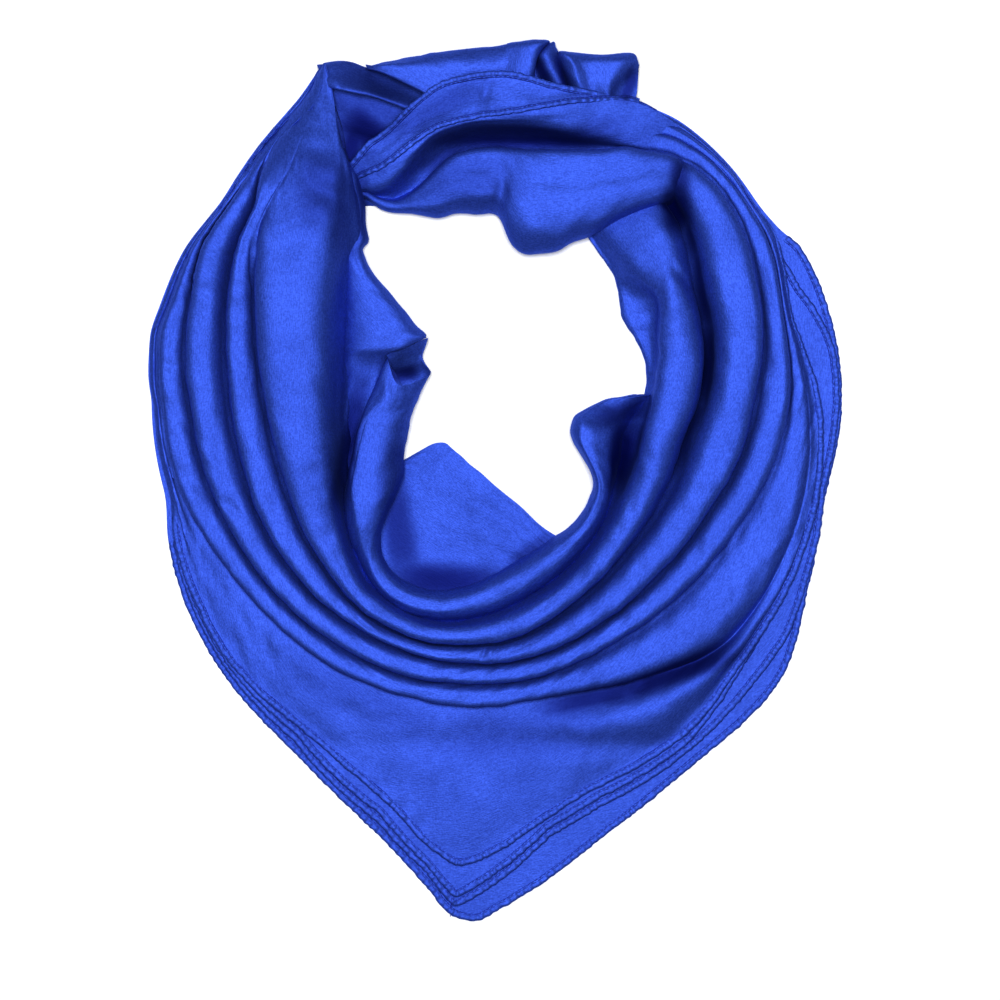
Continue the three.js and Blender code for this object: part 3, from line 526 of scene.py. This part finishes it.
def spline_weights(knots, at):
    """Weights of a natural cubic spline through values at the knots."""
    n = len(knots)
    h = np.diff(knots)
    left, right = np.eye(n), np.zeros((n, n))
    for k in range(1, n - 1):
        left[k, k - 1], left[k, k], left[k, k + 1] = h[k - 1], 2 * (h[k - 1] + h[k]), h[k]
        right[k, k - 1] = 6 / h[k - 1]
        right[k, k] = -6 / h[k - 1] - 6 / h[k]
        right[k, k + 1] = 6 / h[k]
    bend = np.linalg.solve(left, right)
    low = np.clip(np.searchsorted(knots, at, "right") - 1, 0, n - 2)
    step = h[low][:, None]
    b = ((at - knots[low]) / h[low])[:, None]
    a = 1 - b
    unit = np.eye(n)
    return (
        a * unit[low]
        + b * unit[low + 1]
        + ((a**3 - a) * bend[low] + (b**3 - b) * bend[low + 1]) * step**2 / 6
    )


def through(controls, count):
    """Smooth curves through control points (distance, height), one curve for each station."""
    points = np.array([[np.broadcast_to(part, controls[0][0].shape) for part in pair] for pair in controls])
    steps = np.linalg.norm(np.diff(points, axis=0), axis=1).mean(axis=1)
    knots = np.concatenate([[0], np.cumsum(np.sqrt(np.maximum(steps, SHORTEST_STEP)))])
    weights = spline_weights(knots, np.linspace(0, knots[-1], count))
    return np.einsum("mk,kcn->cnm", weights, points)


def waves(u, v, seed, long, wide, amount, count=28):
    """Smooth random relief, with features about long by wide."""
    dice = np.random.default_rng(seed)
    total = 0
    for _ in range(count):
        ku, kv = dice.normal(0, 1 / long), dice.normal(0, 1 / wide)
        total = total + np.sin(2 * math.pi * (ku * u + kv * v) + dice.uniform(0, 2 * math.pi))
    return total * amount * math.sqrt(2 / count)


def between(a, b, t):
    """The value at a share of the way from a to b."""
    return a + (b - a) * t


def around(points, x, y, turn, long, wide):
    """Where points lie along and across a mark, in its lengths and widths."""
    angle = math.radians(turn)
    dx, dy = points[..., 0] - x, points[..., 1] - y
    along = (dx * math.cos(angle) + dy * math.sin(angle)) / long
    across = (dy * math.cos(angle) - dx * math.sin(angle)) / wide
    return along, across


def painted_fold_shade(points):
    """Share of painted shade, from 0 on open cloth to 1 in the deepest folds."""
    made = np.zeros(points.shape[:-1])
    for *mark, share, below in PAINTED_FOLD_SHADES:
        along, across = around(points, *mark)
        low = np.clip((below - points[..., 2]) / PAINTED_SHADE_FADE, 0, 1)
        made = np.maximum(made, share * low * low * (3 - 2 * low) * np.exp(-along**4 - across**4))
    return made


def add_object(name, data):
    """A new object in the scene."""
    made = bpy.data.objects.new(name, data)
    scene.collection.objects.link(made)
    return made


class Cloth:
    """Collects grids of points into one mesh, with a map in millimetres along and across the cloth."""

    def __init__(self):
        self.points, self.faces, self.maps, self.depths, self.count = [], [], [], [], 0

    def grid(self, points, u, v, flip=False):
        """One grid of points, kept off the floor."""
        points[..., 2] = np.maximum(points[..., 2], FLOOR_GAP)
        n, m = points.shape[:2]
        index = self.count + np.arange(n * m).reshape(n, m)
        quads = [index[:-1, :-1], index[1:, :-1], index[1:, 1:], index[:-1, 1:]]
        if flip:
            quads.reverse()
        self.faces.append(np.stack(quads, axis=-1).reshape(-1, 4))
        self.points.append(points.reshape(-1, 3))
        # Share of painted shade at each point of the grid
        self.depths.append(painted_fold_shade(points).ravel())
        both = [np.broadcast_to(way, (n, m)) for way in (u, v)]
        self.maps.append(np.stack(both, axis=-1).reshape(-1, 2))
        self.count += n * m

    def build(self, name, material):
        """The collected grids as one object."""
        points = np.concatenate(self.points) * MM
        faces = np.concatenate(self.faces)
        maps = np.concatenate(self.maps)
        mesh = bpy.data.meshes.new(name)
        mesh.from_pydata(points.tolist(), [], faces.tolist())
        layer = mesh.uv_layers.new(name="cloth_map")
        layer.data.foreach_set("uv", (maps[faces.ravel()] * MM).astype(np.float32).ravel())
        # Painted shade kept on the points, for the satin's colour
        depth = mesh.attributes.new(PAINTED_SHADE_ATTRIBUTE, "FLOAT", "POINT")
        depth.data.foreach_set("value", np.concatenate(self.depths).astype(np.float32))
        mesh.polygons.foreach_set("use_smooth", np.ones(len(mesh.polygons), bool))
        mesh.materials.append(material)
        return add_object(name, mesh)


def to_points(c, distance, height):
    """Points (stations, samples, 3) from distances and heights on each section."""
    flat = {name: values[:, None] for name, values in c.items()}
    x, y = on_section(flat, distance)
    return np.stack([x, y, height + 0 * x], axis=-1)


def unit(vectors):
    """Vectors at length one."""
    return vectors / np.maximum(np.linalg.norm(vectors, axis=-1, keepdims=True), 1e-9)


def normals_of(points):
    """Unit normals of a grid, on its upper side."""
    n = unit(np.cross(np.gradient(points, axis=0), np.gradient(points, axis=1)))
    return n * np.sign(np.mean(n[..., 2]))


def ways(points):
    """Millimetres along and across a grid, for its cloth map and its relief."""
    u = np.linalg.norm(np.diff(points, axis=0), axis=2).mean(axis=1)
    v = np.linalg.norm(np.diff(points, axis=1), axis=2)
    u = np.concatenate([[0], np.cumsum(u)])[:, None]
    v = np.concatenate([np.zeros((len(points), 1)), np.cumsum(v, axis=1)], axis=1)
    return u + 0 * v, v


def dented(points):
    """Points with the seen dents and small creases pressed into them."""
    made = points.copy()
    for *mark, rise in DENTS:
        along, across = around(points, *mark)
        made[..., 2] += rise * np.exp(-along**2 - across**2)
    made[..., 2] = np.maximum(made[..., 2], np.minimum(points[..., 2], LEAST_HEIGHT))
    return made


def wrinkled(points, seed, amount=1.0):
    """Fine streaks along the rolls and soft crossing wrinkles, along the surface's normals."""
    u, v = ways(points)
    points = dented(points)
    relief = sum(waves(u, v, seed + k, *sizes) for k, sizes in enumerate(RELIEF))
    return points + normals_of(points) * (relief * amount)[..., None], u, v


def front_table():
    """Every column of the front ply."""
    table = columns(SECTION_NAMES, SECTIONS)
    table.update(columns(HEIGHT_NAMES, HEIGHTS))
    edges = columns(EDGE_NAMES, EDGES)
    number = np.arange(len(SECTIONS))
    for name in EDGE_NAMES[1:]:
        table[name] = np.interp(number, edges["section"], edges[name])
    return table


def front_profile(c):
    """Control points of the front ply: rolls between the creases, then the panel to its edge."""
    a, low = c["crease4"], c["low4"]
    lip = c["lip"]
    foot = np.maximum(low - 6, 0.8)
    made = [
        (between(a - 6, a + 5, lip), between(low - 4, foot, lip)),
        (between(a - 3.5, a + 1.2, lip), between(low - 2, between(foot, low, 0.5), lip)),
        (between(a - 1, a, lip), between(low - 0.4, low + 2, lip)),
    ]
    for k in (4, 3, 2, 1):
        a, b = c[f"crease{k}"], c[f"crease{k - 1}"]
        low_a, low_b = c[f"low{k}"], c[f"low{k - 1}"]
        ridge = np.maximum(c[f"ridge{k}"], np.maximum(low_a, low_b) + 0.3)
        crisp_a = c[f"crisp{k}"] if k < 4 else lip
        crisp_b = c[f"crisp{k - 1}"]
        wide = b - a
        deep = DEEP_TUCK * (low_b + 1 < ridge - DEEP_DROP) if k == 4 else 0
        tuck = np.minimum(TUCK, wide * 0.5) * between(crisp_b, 1, deep)
        soft_side = INNER_SIDE_BROAD if k == 4 else INNER_SIDE_SOFT
        crisp_side = INNER_SIDE_BROAD if k == 4 else INNER_SIDE_CRISP
        stepped = c["step"] if k == 4 else 0
        for soft, crisp, stair in zip(soft_side, crisp_side, STEPPED_SIDE):
            share = between(soft[0], crisp[0], crisp_a)
            rise = between(soft[1], crisp[1], crisp_a)
            share = between(share, c["step_at"] * stair[0] + stair[1], stepped)
            rise = between(rise, stair[2], stepped)
            made.append((a + wide * share, low_a + (ridge - low_a) * rise))
        for soft, crisp in zip(OUTER_SIDE_SOFT, OUTER_SIDE_CRISP):
            made.append((a + wide * between(soft[0], crisp[0], crisp_b),
                         low_b + (ridge - low_b) * between(soft[1], crisp[1], crisp_b)))
        made[-1] = (made[-1][0] - tuck * 0.4, made[-1][1])
        made.append((b - tuck, low_b - 0.2))
    crown, rim = c["ridge4"], c["edge"]
    whole = c["front"] - c["crease4"]
    for k in range(3, len(made)):
        distance, height = made[k]
        share = np.clip((distance - c["crease4"]) / whole, 0, 1)
        made[k] = (distance, between(height, rim + (crown - rim) * (1 - share**4), c["plain"]))
    a, low = c["crease0"], c["low0"]
    room = c["front"] - a
    panel, edge, hemmed = c["panel"], c["edge"], c["hemmed"]
    hem = np.minimum(HEM_WIDTH + 1.5, room * 0.4)
    made += [
        (a + room * 0.12, between(low, panel, 0.35)),
        (a + room * 0.36, panel),
        (a + room * 0.62, between(panel, edge, 0.3) * hemmed + panel * (1 - hemmed)),
        (c["front"] - hem, between(panel * 0.86, edge + 0.1, hemmed)),
        (c["front"] - hem * 0.08 * hemmed, between(panel * 0.5, edge, hemmed)),
        (c["front"] - between(2.0, 0.0, hemmed), between(0.8, edge - 0.1, hemmed)),
    ]
    return made


def inner_profile(c):
    """Control points from the neck edge over the crest to crease 4 and on below the front ply."""
    neck, end, low, ridge, last = c["neck"], c["crease4"], c["edge_height"], c["ridge"], c["crease_height"]
    wide, q, crisp = end - neck, c["crest"], c["crisp"]
    up = ridge - low
    down = ridge - last
    rest = 1 - q
    return [
        (neck + 5, low - 0.3),
        (neck + 1.2, low + up * 0.12),
        (neck, low + up * 0.38),
        (neck + wide * q * 0.15, low + up * 0.70),
        (neck + wide * q * 0.46, low + up * 0.94),
        (neck + wide * q, ridge),
        (neck + wide * (q + rest * 0.42), ridge - down * between(0.10, 0.03, crisp)),
        (neck + wide * (q + rest * between(0.80, 0.94, crisp)), ridge - down * between(0.46, 0.08, crisp)),
        (end - wide * 0.02 * (1 - crisp), last + between(0.2, down * 0.6, crisp)),
        (end + between(4, -3, crisp), last - between(3, 1, crisp)),
    ]


def inner_rows(rows, names=INNER_NAMES):
    """Control points (rows, controls, 3) of an inner roll's own rows."""
    table = columns(names, rows)
    made = []
    for distance, height in inner_profile(table):
        x, y = on_section(table, distance)
        made.append(np.stack([x, y, height + 0 * x], axis=1))
    return np.stack(made, axis=1)


def loft(rows, samples, step=STATION_STEP):
    """Smooth grid of points through rows of control points."""
    rows = np.array(rows, float)
    gaps = np.linalg.norm(np.diff(rows, axis=0), axis=2).mean(axis=1)
    way = np.concatenate([[0], np.cumsum(np.maximum(gaps, 0.3))])
    count = max(int(way[-1] / step), LEAST_STATIONS)
    at = np.linspace(0, way[-1], count)
    steps = np.linalg.norm(np.diff(rows, axis=1), axis=2).mean(axis=0)
    knots = np.concatenate([[0], np.cumsum(np.sqrt(np.maximum(steps, SHORTEST_STEP)))])
    across = spline_weights(knots, np.linspace(0, knots[-1], samples))
    along = spline_weights(way, at)
    return np.einsum("nr,mk,rkc->nmc", along, across, rows)


def add_cloth(points, seed, amount=1.0):
    """Points with their wrinkles added to the cloth."""
    points, u, v = wrinkled(points, seed, amount)
    cloth.grid(points, u, v, flip=True)
    return points


def spread(start, end, shares):
    """Distances on each section at shares of the way from a start to an end."""
    return start[:, None] + (end - start)[:, None] * shares


def add_layer(distance, level, seed, relief):
    """A flat hidden layer added to the cloth; gives its outer edge."""
    points = to_points(front, distance, level + 0 * distance)
    u, v = ways(points)
    points[..., 2] += waves(points[..., 0], points[..., 1], seed, LAYER_WAVE, LAYER_WAVE, relief)
    cloth.grid(points, u, v, flip=True)
    return points[:, -1]


cloth = Cloth()
table = front_table()
front = stations(table, ["crease4", "crease2", "back"], smooth=3.0, sharp=("front", "back", "hemmed"))
for name in ("front", "back"):
    front[name] = softened(front[name], 0.8)
distance, height = through(front_profile(front), FRONT_SAMPLES)
front_points = add_cloth(to_points(front, distance, height), seed=11)

# Inner rolls, hanging fold, pocket and the folds at the top
for seed, rows, samples, step, amount in (
    (21, inner_rows(INNER_UPPER, ["side"] + INNER_NAMES), 30, STATION_STEP, 1),
    (31, np.concatenate([ROLL_MOUTH, inner_rows(INNER_LOWER)]), 36, STATION_STEP, 1),
    (41, inner_rows(TOP_FOLD), 44, STATION_STEP, 1),
    (23, KNOT_POCKET, 20, FINE_STEP, 0.6),
    (73, PLEATS, 90, FINE_STEP, 0.6),
    (75, PEAK_SHEET, 24, FINE_STEP, 0.6),
    (77, PEAK_HOLLOW, 20, FINE_STEP, 0.6),
):
    add_cloth(loft(rows, samples, step), seed, amount)

# Hollow under the band's lower hem
c = stations(columns(HOLLOW_NAMES, HOLLOW), ["hem"], smooth=2.0)
fold, floor_height, hem, top, shelf = (c[name] for name in ("fold", "floor", "hem", "hem_height", "shelf"))
wide = hem - fold
distance, height = through([
    (fold - 6, floor_height - 2),
    (fold, floor_height),
    (fold + wide * (1 - shelf) * 0.5, between(floor_height, top, 0.12)),
    (fold + wide * (1 - shelf), between(floor_height, top, 0.72)),
    (fold + wide * (1 - shelf * 0.55), between(floor_height, top, 0.94)),
    (hem, top - 0.3),
], count=24)
add_cloth(to_points(c, distance, height), seed=51, amount=0.7)

# Band between its two hems
c = stations(columns(BAND_NAMES, BAND), ["upper_hem"], smooth=1.5)
lower, upper, low, top = (c[name] for name in BAND_NAMES[1:])
distance, height = through([
    (lower, low),
    (between(lower, upper, 0.3), between(low, top, 0.3) - 0.8),
    (between(lower, upper, 0.7), between(low, top, 0.7) - 0.8),
    (upper, top),
], count=14)
band_points = add_cloth(to_points(c, distance, height), seed=61)

# Cloth behind the band
c = stations(columns(TOP_BACK_NAMES, TOP_BACK), ["outline"], step=1.2, smooth=1.2)
hidden, outline, crown, level = (c[name] for name in TOP_BACK_NAMES[1:])
distance, height = through([
    (hidden + 3, level - 3),
    (hidden, level - 0.8),
    (between(hidden, outline, 0.08), level + 0.2),
    (between(hidden, outline, 0.4), level),
    (between(hidden, outline, 0.75), crown),
    (outline - 2, crown * 0.8),
    (outline, crown * 0.4),
    (outline - 2, 0.8),
], count=26)
add_cloth(to_points(c, distance, height), seed=71)

# Lower plies: complete layers under the rolls, out to their own hemmed corners. Where the front ply's lip is
# open they begin beyond crease 4, so that none shows beside the inner roll.
plies = columns(PLY_NAMES, PLIES)
inner_edge = by_turn(front["turn"], LAYER_START)
inner_edge = np.maximum(inner_edge, np.where(front["side"] > PEAK_SIDE, front["crease4"] + LAYER_ROOM, 0))
inner_edge = np.minimum(inner_edge, front["front"] - LAYER_ROOM)
upper_edge = np.maximum(inner_edge, np.where(front["turn"] < UPPER_START_TO, front["crease4"] + 1, 0))
upper_edge = np.minimum(upper_edge, front["front"] - LAYER_ROOM)
shown = (front["turn"] > PLIES_FROM) & (front["turn"] < PLIES_TO)
ply_edges = {}
for name, level, start, seed in (
    ("second", SECOND_LEVEL, upper_edge, 81),
    ("third", THIRD_LEVEL, inner_edge, 83),
):
    edge = np.interp(front["turn"], plies["turn"], plies[name])
    edge = softened(np.where(shown, edge, front["front"] - 3), 0.8)
    ply_edges[name] = add_layer(spread(start, edge, LAYER_SHARES), level, seed, 0.15)

# One more layer folded away inside the rolls, then the back ply
distance = np.minimum(spread(upper_edge, front["crease1"], CORE_SHARES) + 2, front["front"][:, None] - 1)
add_layer(distance, CORE_LEVEL, seed=85, relief=0)
distance = spread(inner_edge - 8, front["back"], LAYER_SHARES)
ply_edges["back"] = add_layer(distance, BACK_LEVEL, seed=87, relief=0.12)

# Corner of the back ply in the opening
c = stations(columns(FLAP_NAMES, FLAP), ["neck"], step=1.5, smooth=0.7)
distance = spread(c["neck"], by_turn(c["turn"], FLAP_END), np.linspace(0, 1, 30)[None, :])
points = to_points(c, distance, 0 * distance)
inward = -sum((points[..., k] - FLAP_TIP[k]) * FLAP_WAY[k] for k in (0, 1))
points[..., 2] = FLAP_LEVEL + FLAP_RISE * np.exp(-(np.maximum(inward, 0) / FLAP_REACH) ** 2)
add_cloth(points, seed=91, amount=0.8)


# Satin: colours of its threads, the painted shade of its deep folds, and its gloss
SATIN_COLOURS = [(0.38, (0.042, 0.090, 0.43, 1)), (0.62, (0.070, 0.144, 0.60, 1))]
# Near-black blue painted in as shade in the deep folds
PAINTED_SHADE_COLOUR = (0.002, 0.006, 0.14, 1)
GRAIN_SCALE = 900
CLOUD_SCALE = 22
FLOAT_SCALES = (250, 2200, 1)
SATIN_ROUGHNESS = {"To Min": 0.54, "To Max": 0.66}
SATIN_GLOSS = {
    "Metallic": 0.6,
    "Specular IOR Level": 0.65,
    "Specular Tint": (0.35, 0.5, 1.0, 1),
    "Anisotropic": 0.3,
    "Sheen Weight": 0.08,
    "Sheen Roughness": 0.4,
    "Sheen Tint": (0.15, 0.28, 1.0, 1),
}
THREAD_COLOURS = [(0.3, (0.010, 0.018, 0.26, 1)), (0.7, (0.024, 0.05, 0.50, 1))]
TWIST_SCALE = 1800
THREAD_ROUGHNESS = 0.6
FLOOR_SIZE = 8
FLOOR_LOOK = {"Base Color": (0.97, 0.97, 0.97, 1), "Roughness": 0.9}
WORLD_LIGHT = {"Color": (0.9, 0.93, 1, 1), "Strength": 0.07}


def new_material(name):
    """A material, its node tree and its shader."""
    material = bpy.data.materials.new(name)
    material.use_nodes = True
    return material, material.node_tree, material.node_tree.nodes["Principled BSDF"]


def set_inputs(node, values):
    """Constant values on a node's own inputs."""
    for name, value in values.items():
        node.inputs[name].default_value = value


def add_noise(tree, place, scale, detail):
    """Noise laid out by another node's output."""
    noise = tree.nodes.new("ShaderNodeTexNoise")
    set_inputs(noise, {"Scale": scale, "Detail": detail})
    tree.links.new(place, noise.inputs["Vector"])
    return noise.outputs["Fac"]


def add_ramp(tree, level, stops):
    """A colour by level, between two (position, colour) stops."""
    ramp = tree.nodes.new("ShaderNodeValToRGB")
    for element, (position, colour) in zip(ramp.color_ramp.elements, stops):
        element.position = position
        element.color = colour
    tree.links.new(level, ramp.inputs["Fac"])
    return ramp.outputs["Color"]


def add_bump(tree, level, shader, strength, distance):
    """Fine relief on a shader, from a level."""
    bump = tree.nodes.new("ShaderNodeBump")
    set_inputs(bump, {"Strength": strength, "Distance": distance})
    tree.links.new(level, bump.inputs["Height"])
    tree.links.new(bump.outputs["Normal"], shader.inputs["Normal"])


def satin():
    """Royal blue satin: fine grain, long floats across it and a soft sheen, with painted shade darkening its
    deep folds.
    """
    material, tree, shader = new_material("royal_blue_satin")
    nodes, links = tree.nodes, tree.links
    place = nodes.new("ShaderNodeTexCoord")
    stretch = nodes.new("ShaderNodeMapping")
    set_inputs(stretch, {"Scale": FLOAT_SCALES})
    links.new(place.outputs["UV"], stretch.inputs["Vector"])
    both = nodes.new("ShaderNodeMath")
    links.new(add_noise(tree, place.outputs["Object"], GRAIN_SCALE, 2), both.inputs[0])
    links.new(add_noise(tree, stretch.outputs["Vector"], 1, 1), both.inputs[1])
    half = nodes.new("ShaderNodeMath")
    half.operation = "MULTIPLY"
    half.inputs[1].default_value = 0.5
    links.new(both.outputs["Value"], half.inputs[0])
    # Painted shade: the base colour is mixed towards the fold colour by the painted fold attribute
    depth = nodes.new("ShaderNodeAttribute")
    depth.attribute_name = PAINTED_SHADE_ATTRIBUTE
    painted_shade_mix = nodes.new("ShaderNodeMix")
    painted_shade_mix.data_type = "RGBA"
    set_inputs(painted_shade_mix, {"B": PAINTED_SHADE_COLOUR})
    links.new(depth.outputs["Fac"], painted_shade_mix.inputs["Factor"])
    links.new(add_ramp(tree, half.outputs["Value"], SATIN_COLOURS), painted_shade_mix.inputs["A"])
    links.new(painted_shade_mix.outputs["Result"], shader.inputs["Base Color"])
    rough = nodes.new("ShaderNodeMapRange")
    set_inputs(rough, SATIN_ROUGHNESS)
    links.new(add_noise(tree, place.outputs["Object"], CLOUD_SCALE, 3), rough.inputs["Value"])
    links.new(rough.outputs["Result"], shader.inputs["Roughness"])
    add_bump(tree, both.outputs["Value"], shader, strength=0.25, distance=0.0004)
    set_inputs(shader, SATIN_GLOSS)
    return material


def thread_material():
    """Blue thread with a fine twist."""
    material, tree, shader = new_material("blue_thread")
    place = tree.nodes.new("ShaderNodeTexCoord")
    twist = add_noise(tree, place.outputs["Object"], TWIST_SCALE, 2)
    tree.links.new(add_ramp(tree, twist, THREAD_COLOURS), shader.inputs["Base Color"])
    add_bump(tree, twist, shader, strength=0.4, distance=0.0001)
    set_inputs(shader, {"Roughness": THREAD_ROUGHNESS})
    return material


# Hem section: shares of its width, and of its thickness, from under its outer edge to its inner edge
HEM_SECTION = [
    (0.10, -0.45), (0.0, 0.05), (0.03, 0.55), (0.14, 0.92), (0.34, 0.96), (0.58, 0.86),
    (0.76, 0.72), (0.85, 0.30), (0.92, 0.50), (1.0, 0.10), (1.06, -0.3),
]
HEM_STEP = 0.8
HEM_OUT = 0.2
PUCKER_LENGTH = 5.4
PUCKER_IN = 0.26
PUCKER_UP = 0.17
SLANT_LAG = 0.9
SLANT_THICK = 0.2
SLANT_UP = 0.14
THREAD_STEP = 0.6
THREAD_SIDES = 6
THREAD_TURN = np.arange(THREAD_SIDES + 1) * 2 * math.pi / THREAD_SIDES
# One stitch from end to end: share of its length, share of its thickness, height above the cloth
STITCH_SECTION = [
    (-0.5, 0.35, -0.28), (-0.42, 0.8, -0.10), (-0.2, 1.0, 0.06),
    (0.2, 1.0, 0.06), (0.42, 0.8, -0.10), (0.5, 0.35, -0.28),
]
LOOSE_THREAD = [
    (-26.2, -250, 2.4), (-26.0, -253, 2.8), (-26.6, -255.4, 2.2), (-26.2, -258, 1.0), (-27, -261.4, 0.4),
]


def on_path(values, way, at):
    """A path's values at distances along it."""
    return np.array([np.interp(at, way, values[:, k]) for k in range(3)])


def paced(path, step):
    """A path at even steps along itself."""
    way = np.concatenate([[0], np.cumsum(np.linalg.norm(np.diff(path, axis=0), axis=1))])
    at = np.linspace(0, way[-1], max(int(way[-1] / step), 4))
    return on_path(path, way, at).T, at


def inwards(path, middle):
    """Directions along a path, and across it in plan towards the middle's side."""
    along = unit(np.gradient(path, axis=0))
    across = unit(np.stack([-along[:, 1], along[:, 0], 0 * along[:, 0]], axis=1))
    towards = np.sum((middle - path) * across, axis=1)
    return along, across * np.sign(np.mean(towards))


def add_hem(path, middle, seed, width=HEM_WIDTH):
    """A hem turned over along an edge, puckered by its stitches, and the stitches themselves."""
    path, way = paced(path, HEM_STEP)
    along, across = inwards(path, np.array(middle, float))
    dice = np.random.default_rng(seed)
    phase = 2 * math.pi * way / PUCKER_LENGTH + waves(way, 0 * way, seed, 35, 35, 1.6)
    pucker = np.sin(phase) * (0.65 + waves(way, 0 * way, seed + 1, 25, 25, 0.3))
    slant = np.sin(phase - SLANT_LAG)
    wander = waves(way, 0 * way, seed + 2, 16, 16, 0.15)
    rows = []
    for share, rise in HEM_SECTION:
        edge = 1 - min(max(share, 0), 1)
        inward = share * width - HEM_OUT + (PUCKER_IN * pucker + wander) * edge + wander * (1 - edge) * 0.6
        lift = rise * HEM_THICK * (1 + SLANT_THICK * slant * edge) + PUCKER_UP * pucker * edge
        lift = lift + (SLANT_UP * slant if 0.2 < share < 0.8 else 0)
        point = path + across * inward[:, None]
        point[:, 2] += lift
        rows.append(point)
    shares = np.array([share for share, _ in HEM_SECTION]) * width
    hems.grid(np.stack(rows, axis=1), way[:, None], shares[None, :])
    inset = path + across * (STITCH_INSET / HEM_WIDTH * width)
    inset[:, 2] += STITCH_LIFT * HEM_THICK
    at = STITCH_PITCH
    while at < way[-1] - STITCH_PITCH:
        add_stitch(*(on_path(values, way, at) for values in (inset, along, across)), dice)
        at += STITCH_PITCH * (1 + PITCH_SPREAD * dice.normal())


def add_stitch(middle, along, across, dice):
    """One stitch: a short thread that dips into the cloth at both ends."""
    length = STITCH_LENGTH * (1 + LENGTH_SPREAD * dice.normal())
    along = along + across * (SLANT_SPREAD * dice.normal())
    up = np.array([0, 0, 1.0])
    ring = np.outer(np.cos(THREAD_TURN), across) + np.outer(np.sin(THREAD_TURN), up)
    points = [
        middle + along * (share * length) + up * rise + ring * (thick * STITCH_THICK / 2)
        for share, thick, rise in STITCH_SECTION
    ]
    threads.grid(np.array(points), 0.0, 0.0)


def add_thread(path):
    """A loose thread along a path."""
    path, _ = paced(np.array(path, float), THREAD_STEP)
    along = unit(np.gradient(path, axis=0))
    across = unit(np.cross(along, [0, 0, 1.0]))
    over = np.cross(across, along)
    turn = THREAD_TURN[None, :, None]
    ring = np.cos(turn) * across[:, None, :] + np.sin(turn) * over[:, None, :]
    threads.grid(path[:, None, :] + ring * STITCH_THICK / 2, 0.0, 0.0)


hems, threads = Cloth(), Cloth()
ring = (RING_X, RING_Y, 0)
hemmed = (front["hemmed"] > 0.5) & (front["turn"] > HEMS_FROM) & (front["turn"] < HEMS_TO)
add_hem(front_points[hemmed, -1], ring, seed=201)
below = (front["turn"] > PLIES_FROM) & (front["turn"] < HEMS_TO)
to_second = below & (front["turn"] < SECOND_HEM_TO)
for name, shown, seed in (("second", to_second, 211), ("third", below, 221), ("back", below, 231)):
    add_hem(ply_edges[name][shown], ring, seed)
low_edge, high_edge = band_points[:, 0], band_points[:, -1]
outside = high_edge.mean(axis=0) + np.array([0, BEYOND, 0])
add_hem(low_edge[low_edge[:, 0] < LOWER_HEM_END], outside, seed=241, width=3.4)
add_hem(high_edge[high_edge[:, 0] < UPPER_HEM_END], ring, seed=251, width=3.8)
add_thread(LOOSE_THREAD)

satin_material = satin()
scarf_cloth = cloth.build("scarf_cloth", satin_material)
scarf_hems = hems.build("scarf_hems", satin_material)
scarf_stitches = threads.build("scarf_stitches", thread_material())


def floor():
    """A plain pale floor."""
    bpy.ops.mesh.primitive_plane_add(size=FLOOR_SIZE, location=(0, 0, 0))
    made = bpy.context.object
    made.name = "floor"
    material, _, shader = new_material("pale_floor")
    set_inputs(shader, FLOOR_LOOK)
    made.data.materials.append(material)
    made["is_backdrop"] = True


def lights():
    """A soft lamp nearly overhead, a weak one at the side, and a faint even light all round."""
    world = bpy.data.worlds.new("studio")
    world.use_nodes = True
    set_inputs(world.node_tree.nodes["Background"], WORLD_LIGHT)
    scene.world = world
    for name, place, size, power in (
        ("soft_top", (0.0, 0.25, 2.3), 1.1, 50),
        ("soft_side", (-1.3, 0.9, 1.6), 1.0, 3),
    ):
        data = bpy.data.lights.new(name, "AREA")
        data.shape = "SQUARE"
        data.size = size
        data.energy = power
        lamp = add_object(name, data)
        lamp.location = place
        lamp.rotation_mode = "QUATERNION"
        lamp.rotation_quaternion = (-lamp.location).to_track_quat("-Z", "Y")


def camera():
    """The camera, straight above."""
    data = bpy.data.cameras.new("camera")
    data.sensor_width = SENSOR
    data.lens = SENSOR * CAMERA_HEIGHT / PICTURE_WIDTH
    data.clip_end = CLIP_END
    made = add_object("camera", data)
    made.location = (PICTURE_X * MM, PICTURE_Y * MM, CAMERA_HEIGHT * MM)
    scene.camera = made


camera()
floor()
lights()
scene.view_settings.view_transform = "Standard"
scene.view_settings.exposure = VIEW_EXPOSURE
scene.view_settings.gamma = VIEW_GAMMA

for piece in (scarf_cloth, scarf_hems, scarf_stitches):
    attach(piece, "root")
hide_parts("scarf")

low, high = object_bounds()
